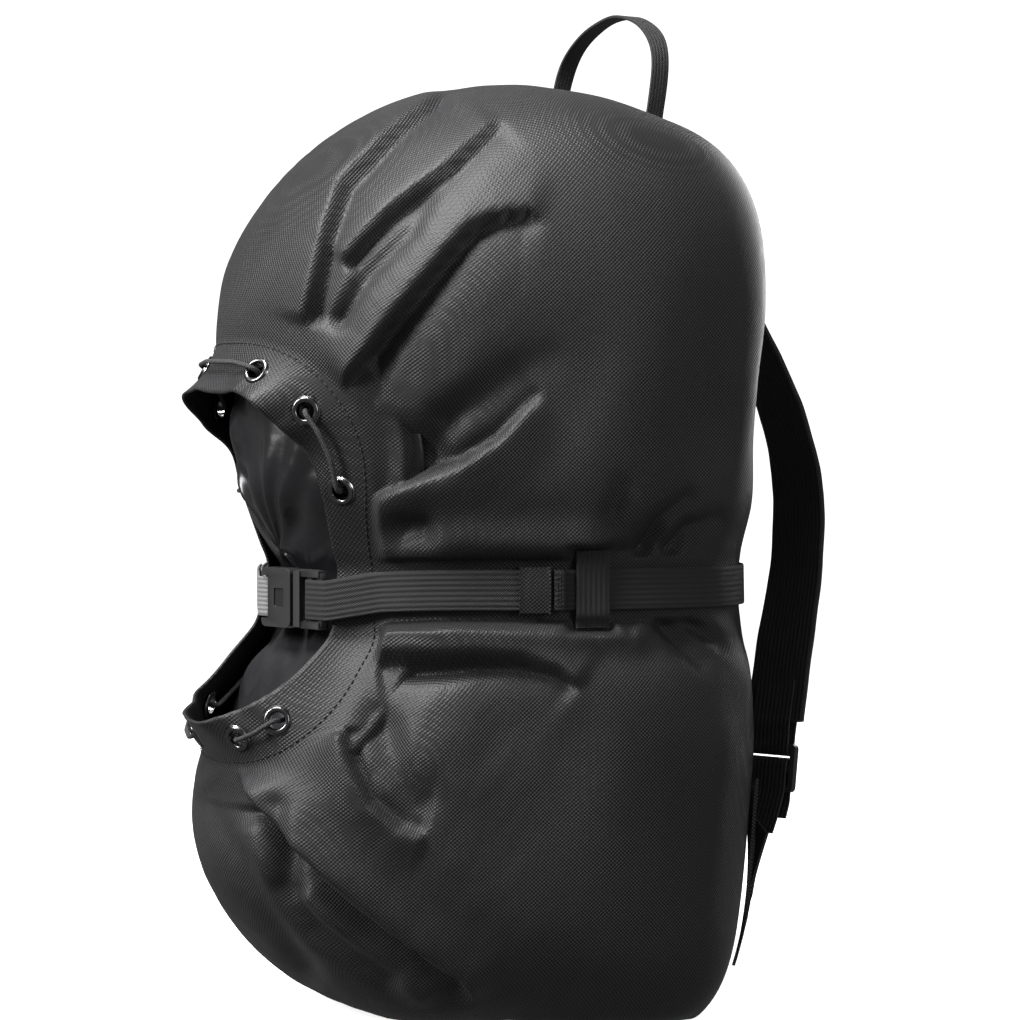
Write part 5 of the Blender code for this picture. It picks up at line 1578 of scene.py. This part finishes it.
def strap_run(start, end, layer, step=0.004):
    """Points along the strap's path. Distances past the middle of the back go on up the other side."""
    whole = 2 * HALF_ALONG[-1]
    count = max(2, round(abs(end - start) / step))
    runs = [start + (end - start) * k / count for k in range(count + 1)]
    return [strap_point(s if s <= whole / 2 else s - whole, layer * LAYER_H) for s in runs]


def make_compression_webbing(mat):
    """One length of webbing: its folded tail, back to the ladder bar, round it and right round the sack."""
    place = buckle_frame()
    tail_end = arc_along(TAIL_END)
    whole = 2 * HALF_ALONG[-1]
    points = [strap_point(tail_end - TAIL_FOLD, 2 * LAYER_H), strap_point(tail_end - 0.001, 2 * LAYER_H)]
    points.append(strap_point(tail_end, 1.5 * LAYER_H))
    points += strap_run(tail_end - 0.001, BUCKLE_AT + 0.052, 1)
    points.append(place @ Vector((0.0295, 0, BAR_TURN)))
    points += turn_round(place, BAR_AT, BAR_TURN, 90, 270)
    points.append(place @ Vector((0.0295, 0, -BAR_TURN)))
    points += strap_run(BUCKLE_AT + 0.045, whole - FAR_LAP, 0)
    mesh = ribbon("waist_webbing", softened(points, 0.0012, 2), (0, 0, 1), WEBBING_W, WEBBING_T, 0.00012)
    return make_object("waist_webbing", mesh, mat, "sack", ["compression_webbing"])


def make_short_webbing(mat):
    """The short grey webbing that holds the buckle's socket half, sewn over the long strap's far end."""
    place = buckle_frame()
    points = [strap_point(-FAR_LAP + 0.006 - 0.016 * k / 2, 2 * LAYER_H) for k in (2, 1, 0)]
    points.append(place @ Vector((-0.029, 0, BAR_TURN)))
    points += turn_round(place, FEMALE_BAR_AT, BAR_TURN, 90, -90)
    points.append(place @ Vector((-0.029, 0, -BAR_TURN)))
    points += [strap_point(-FAR_LAP + 0.006 - 0.024 * k / 3, LAYER_H) for k in range(4)]
    mesh = ribbon("grey_webbing", softened(points, 0.0012, 2), (0, 0, 1), WEBBING_W, WEBBING_T)
    obj = make_object("grey_webbing", mesh, mat, None)
    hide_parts("buckle_short_webbing")
    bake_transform(obj)
    return obj


def box_stitch(name, corners, normal, mat, body):
    """A rectangle of stitches with a cross in it. The corners are in order round it."""
    a, b, c, d = corners
    points = even([a, b, c, d, a, c, d, b], 0.0008)
    return stitched(name, points, [normal] * len(points), mat, body, BOX_STITCH)


def strap_normal(along):
    return (strap_point(along, 0.01) - strap_point(along)).normalized()


def tack_lines(name, spots, layer, mat, half=0.0082):
    """Rows of stitches across the strap, at distances along it."""
    path, normals = [], []
    for along in spots:
        half = -half
        path += [strap_point(along, layer) + Vector((0, 0, s * half)) for s in (1, -1)]
        normals += [strap_normal(along)] * 2
    p = even(path, 0.0006)
    n = [normals[round(k / (len(p) - 1) * (len(normals) - 1))] for k in range(len(p))]
    return stitched(name, p, n, mat, "sack", TACK_STITCH)


def make_tail_keeper(mat):
    """A fabric sleeve round the strap and its tail."""
    inner = (WEBBING_W / 2 + 0.0005, -WEBBING_T / 2 - 0.00035, LAYER_H + WEBBING_T / 2 + 0.00035)
    bulge = [(-1, 0), (-0.4, 0), (0.4, 0), (1, 0), (1, 1), (0.5, 1.12), (0, 1.18), (-0.5, 1.12), (-1, 1)]
    verts, faces, steps, n = [], [], 14, len(bulge)
    for k in range(steps + 1):
        share = k / steps
        along = arc_along(SLEEVE_SPAN[0] + (SLEEVE_SPAN[1] - SLEEVE_SPAN[0]) * share)
        lip = 0.0004 * (1 - smoothstep(0.0, 0.14, min(share, 1 - share)))
        for grow in (SLEEVE_WALL + lip, 0.0):
            for up, out in bulge:
                height = inner[1] - grow + (inner[2] - inner[1] + 2 * grow) * out
                p = strap_point(along, height)
                p.z += up * (inner[0] + grow * (1 if abs(up) == 1 else 0.5))
                verts.append(p)
    for k in range(steps):
        a, b = 2 * n * k, 2 * n * (k + 1)
        for i in range(n):
            j = (i + 1) % n
            faces.append((a + i, a + j, b + j, b + i))
            faces.append((a + n + j, a + n + i, b + n + i, b + n + j))
    for end in (0, 2 * n * steps):
        for i in range(n):
            j = (i + 1) % n
            faces.append((end + i, end + j, end + n + j, end + n + i))
    mesh = mesh_from("fabric_sleeve", verts, faces, None, 50)
    return make_object("fabric_sleeve", mesh, mat, "tail_keeper", ["tail_keeper"])


def make_side_keepers(mat, thread):
    """A webbing loop sewn to each side of the sack, over the strap, with a bar of stitches at each end."""
    centre = arc_along(sum(KEEPER_SPAN) / 2)
    middle, normal = strap_point(centre), strap_normal(centre)
    theta = math.atan2(middle.y, middle.x)
    width = SIDE_ARC_R * math.radians(KEEPER_SPAN[0] - KEEPER_SPAN[1])
    across = Vector((0, 0, 1)).cross(normal)
    points = []
    for dz in (*KEEPER_RISES, 0, *(-rise for rise in KEEPER_RISES[::-1])):
        height = (skin_at(theta, WAIST_Z + dz) - middle).dot(normal) + LAYER_H
        if abs(dz) < KEEPER_OVER_STRAP:
            height = max(height, WEBBING_T + 0.0004)
        points.append(Vector((middle.x, middle.y, WAIST_Z + dz)) + normal * height)
    for name, side in (("right", 1), ("left", -1)):
        mirrored = [flipped(p, side) for p in points]
        way, out = flipped(across, side), flipped(normal, side)
        mesh = ribbon(f"side_loop_{name}", spline(mirrored, 0.0012), way, width, WEBBING_T)
        make_object(f"side_loop_{name}", mesh, mat, "sack", [f"side_keeper_{name}"])
        for end, label in ((0, "top"), (-1, "foot")):
            spot = mirrored[end] + Vector((0, 0, -0.0016 if end == 0 else 0.0016)) + out * (WEBBING_T / 2)
            line = []
            for row in range(3):
                z = Vector((0, 0, (row - 1) * 0.0011))
                ends = [spot + z - way * width * 0.42, spot + z + way * width * 0.42]
                line += ends[:: 1 if row % 2 == 0 else -1]
            p = even(line, 0.0006)
            stitched(f"loop_tack_{name}_{label}", p, [out] * len(p), thread, "sack", BAR_STITCH)


# ---- back pad, shoulder straps and handle --------------------------------------------------------


def make_back_pad(mat, binding, thread):
    """The padded back panel: its crowned cover, a bound edge and a line of stitches inside it."""
    rows, columns = PAD_GRID
    top, foot = PAD_PROFILE[-1][0], PAD_PROFILE[0][0]
    xs = PAD_HALF_X * np.sin(np.linspace(-math.pi / 2, math.pi / 2, columns))
    zs = np.linspace(foot, top, rows)
    grid_x, grid_z = np.meshgrid(xs, zs)
    inner = skin_depth(grid_x, grid_z, 1) + 0.0012
    edge = np.clip(1 - np.abs(grid_x / PAD_HALF_X) ** 5, 0, 1) ** 0.5
    thick = smooth_table(PAD_PROFILE, grid_z, 1)
    rim = np.minimum(smoothstep(0, 0.006, PAD_HALF_X - np.abs(grid_x)), 1)
    seam = np.exp(-(((PAD_HALF_X - PAD_SEAM_IN - np.abs(grid_x)) / 0.0016) ** 2))
    outer = inner + COVER_T + (thick - COVER_T) * edge - PAD_SEAM_DEPTH * seam * rim
    by_seam = np.exp(-(((PAD_HALF_X - 0.012 - np.abs(grid_x)) / 0.006) ** 2))
    pucker = 0.0005 * np.sin(grid_z * 700) * by_seam
    soft = 0.0007 * np.sin(grid_x * 85 + 2) * np.sin(grid_z * 52) * rim
    outer = np.maximum(outer + pucker + soft, inner + 0.0008)
    verts = [p for y in (inner, outer) for p in zip(grid_x.ravel(), y.ravel(), grid_z.ravel())]
    mesh = mesh_from("back_panel", verts, sheet_faces(rows, columns), None, 60)
    pad = make_object("back_panel", mesh, mat, "sack", ["back_pad_cover", "back_foam"])
    corners = ((-1, foot), (-1, top), (1, top), (1, foot), (-1, foot))
    line = softened([Vector((x * (PAD_HALF_X - 0.0005), 0, z)) for x, z in corners], 0.002, 4)
    depth = skin_depth([p.x for p in line], [p.z for p in line], 1)
    piping = [Vector((p.x, float(y) + 0.0019, p.z)) for p, y in zip(line, depth)]
    mesh = tube_mesh("panel_piping", piping, PIPING_R, 10)
    make_object("panel_piping", mesh, binding, "sack", ())
    for side, label in ((-1, "left"), (1, "right")):
        x = side * (PAD_HALF_X - PAD_SEAM_IN)
        i = int(np.argmin(np.abs(xs - x)))
        points = [Vector((x, float(outer[j, i]) + 0.0001, zs[j])) for j in range(4, rows - 4)]
        stitched(f"panel_stitches_{label}", points, [(0, 1, 0)] * len(points), thread, "sack")


def harness_frame():
    """Frame of the right ladder lock: X across the strap towards the spine, Y up along it, Z backwards."""
    x = Vector(LADDER_ACROSS).normalized()
    y = Vector(LADDER_UP)
    y = (y - x * y.dot(x)).normalized()
    return Matrix.Translation(LADDER_AT) @ Matrix((x, y, x.cross(y))).transposed().to_4x4()


def strap_at(route, distance):
    """Point on the shoulder strap's centreline, this far before its end."""
    total = 0.0
    for a, b in zip(route[::-1], route[-2::-1]):
        step = (b - a).length
        if total + step >= distance:
            return a.lerp(b, (distance - total) / step)
        total += step
    return route[0]


def mirror(mesh):
    """The same mesh on the other side."""
    copy = mesh.copy()
    copy.transform(Matrix.Diagonal((-1, 1, 1, 1)))
    copy.flip_normals()
    return copy


def both_sides(name, mesh, mat, node, bodies=("sack", "sack"), blended=None):
    """The piece on the right and its mirror image on the left."""
    made = []
    for side, body in zip(("right", "left"), bodies):
        shape = mesh if side == "right" else mirror(mesh)
        obj = make_object(f"{name}_{side}", shape, mat, None if blended else body)
        if node:
            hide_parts(f"{node}_{side}")
        if blended:
            start, end = (tuple(flipped(p, 1 if side == "right" else -1)) for p in blended)
            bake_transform(obj)
            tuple(start)
            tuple(end)
        made.append(obj)
    return made


def make_harness(webbing, cloth, plastic, thread):
    """Shoulder strap, sewn tab, ladder lock, lower webbing and the fabric wing, on both sides."""
    place = harness_frame()
    turn = LADDER_T / 2 + 0.0003 + WEBBING_T / 2
    axis, out = place.to_3x3().col[0], place.to_3x3().col[2]
    end = place @ Vector((0, 0.022, 0))
    route = spline([*SHOULDER_ROUTE, end], 0.012)
    fine = softened(route, 0.002, 2)

    def across(share):
        return Vector((-1, 0, 0)).lerp(axis, share).normalized()

    strap = ribbon("shoulder_webbing", fine, across, SHOULDER_W, SHOULDER_T, 0.00025)
    both_sides("shoulder_webbing", strap, webbing, "shoulder_strap")

    lap = SHOULDER_T / 2 + 0.0008 + WEBBING_T / 2
    top = (strap_at(route, 0.022), strap_at(route, 0.010))
    tab_points = [top[0] + out * lap, top[1] + out * lap, end + out * lap, place @ Vector((0, 0.015, turn))]
    tab_points += turn_round(place, TAB_BAR_AT, turn, 90, 270, 1, 12)
    tab_points += [place @ Vector((0, 0.015, -turn)), *(p - out * lap for p in (end, top[1], top[0]))]
    tab = ribbon("sewn_tab", softened(tab_points, 0.001, 2), axis, LOWER_W, WEBBING_T)
    lock_top = place @ Vector((0, 0.0102, 0))
    both_sides("sewn_tab", tab, webbing, "strap_tab", blended=(end, lock_top))

    windows = [rounded(-0.0132, 0.0132, *span, 0.0008, 3) for span in LOCK_WINDOWS]
    ladder = plate_mesh("ladder_lock", rounded(*LOCK_PLATE, 0.0025), windows, -LADDER_T / 2, LADDER_T / 2)
    ladder.transform(place)
    for side, shape in (("right", ladder), ("left", mirror(ladder))):
        moulded(f"strap_adjuster_{side}", shape, [], [], Matrix.Identity(4), plastic,
                f"ladder_lock_{side}", f"ladder_lock_{side}", 0.0008)

    lower = [place @ Vector((0, y, turn + drift)) for y, drift in LOWER_TAIL]
    lower += turn_round(place, LOWER_BAR_AT, turn, 90, -90, 1, 12)
    lower += [place @ Vector((0, y, -turn - drift)) for y, drift in LOWER_DRIFT]
    mesh = ribbon("adjusting_webbing", softened(lower, 0.001, 2), axis, LOWER_W, WEBBING_T)
    far = place @ Vector((0, LOWER_DRIFT[3][0], -turn - LOWER_DRIFT[3][1]))
    both_sides("adjusting_webbing", mesh, webbing, "lower_webbing",
               blended=(far, place @ Vector((0, -0.010, 0))))

    ends = []
    for x, (y, drift) in ((LOWER_W / 2, LOWER_DRIFT[1]), (-LOWER_W / 2, LOWER_DRIFT[3])):
        ends.append(place @ Vector((x, y, -turn - drift - WEBBING_T / 2 - 0.0022 - WING_T / 2)))
    wing = wing_mesh(ends)
    for obj in both_sides("fabric_wing", wing, cloth, "strap_wing"):
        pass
    face, aside = out * (lap + WEBBING_T / 2 + 0.0002), axis * 0.0105
    low, high = top[1] + face, top[0] + face
    box = (low - aside, low + aside, high + aside, high - aside)
    for side, flip in (("right", 1), ("left", -1)):
        corners = [flipped(corner, flip) for corner in box]
        box_stitch(f"tab_stitches_{side}", corners, flipped(out, flip), thread, "sack")


def wing_mesh(ends):
    """The fabric wing from the sack's back corner to the lower webbing's sewn end, a little slack."""
    grid, steps = [], 26
    for i in range(steps + 1):
        across = i / steps
        z = WING_SEAM[0] + (WING_SEAM[1] - WING_SEAM[0]) * across
        seam = skin_at(WING_THETA, z) + Vector((math.cos(WING_THETA), math.sin(WING_THETA), 0)) * 0.0032
        tip = ends[0].lerp(ends[1], across)
        row = []
        for j in range(steps + 1):
            t = j / steps
            p = seam.lerp(tip, t)
            sag = 0.0012 * math.sin(math.pi * t) * math.sin(9 * across + 2.5 * t)
            row.append(p + Vector((0.3, 0.95, 0)) * sag)
        grid.append(row)
    n, verts = steps + 1, []
    for side in (0.5, -0.5):
        for i in range(n):
            for j in range(n):
                u = grid[min(i + 1, n - 1)][j] - grid[max(i - 1, 0)][j]
                v = grid[i][min(j + 1, n - 1)] - grid[i][max(j - 1, 0)]
                verts.append(grid[i][j] + u.cross(v).normalized() * WING_T * 0.8 * side)
    return mesh_from("fabric_wing", verts, sheet_faces(n, n), None, 60)


def make_handle(mat):
    """The webbing grab handle on the top's back edge."""
    foot = Vector((HANDLE_HALF, HANDLE_Y, 0))
    foot.z = top_z(foot.x, foot.y) + HANDLE_LIFT
    peak = Vector((0, HANDLE_Y + HANDLE_LEAN, HANDLE_TOP))
    route = []
    for k in range(25):
        a = math.pi * k / 24
        bow = 1 + HANDLE_BOW * math.sin(2 * a) ** 2
        x = HANDLE_HALF * math.cos(a) * bow
        rise = math.sin(a) ** 0.75 if 0 < k < 24 else 0.0
        route.append(Vector((x, foot.y + (peak.y - foot.y) * rise, foot.z + (peak.z - foot.z) * rise)))
    mesh = ribbon("carry_handle", softened(route, 0.0012, 6), (0, 1, 0), HANDLE_W, HANDLE_T, 0.0002)
    return make_object("carry_handle", mesh, mat, "grab_handle", ["grab_handle"])


# ---- the scene -----------------------------------------------------------------------------------


def main():
    cloth = cloth_material("nylon_visual", (0.004, 0.004, 0.0043), (0.062, 0.062, 0.065),
                           period=0.0019, roughness=0.46, depth=0.00022, sheen=0.03)
    pad_cloth = cloth_material("pad_visual", (0.005, 0.005, 0.0053), (0.055, 0.055, 0.058),
                               period=0.0022, roughness=0.7, depth=0.0004, sheen=0.03)
    webbing = webbing_material("webbing_visual", (0.001, 0.001, 0.0011), (0.012, 0.012, 0.013),
                               rib=0.0026, cross=0.0013)
    fine_webbing = webbing_material("handle_visual", (0.002, 0.002, 0.0022), (0.016, 0.016, 0.017),
                                    rib=0.0018, cross=0.0010)
    grey = webbing_material("grey_visual", (0.16, 0.16, 0.165), (0.34, 0.34, 0.34),
                            rib=0.0022, cross=0.0011)
    thread = cord_material("thread_visual", (0.020, 0.020, 0.021), (0.065, 0.065, 0.068), strand=0.0006)
    cord = cord_material("cord_visual", (0.012, 0.012, 0.012), (0.075, 0.075, 0.078), strand=0.0011)
    plastic, metal = plastic_material(), eyelet_material()

    make_camera()
    make_stage()
    make_sack(cloth)
    hem_line("hem_stitches", HEM_SEWN_AT, thread)
    make_lining(lining_material())
    make_eyelets(metal)
    make_drawcord(cord)
    make_cord_lock(plastic)
    make_compression_webbing(webbing)
    make_short_webbing(grey)
    make_buckle(plastic)
    make_tail_keeper(cloth)
    make_side_keepers(webbing, thread)
    make_back_pad(pad_cloth, webbing, thread)
    make_harness(webbing, cloth, plastic, thread)
    make_handle(fine_webbing)
    tack_lines("tail_stitches", [arc_along(TAIL_END) - before for before in TAIL_TACKS],
               2 * LAYER_H + WEBBING_T / 2 + 0.0001, thread)
    spring = frame["nodes"]["cord_lock_spring"]
    spring.data.materials.clear()
    spring.data.materials.append(metal)


main()
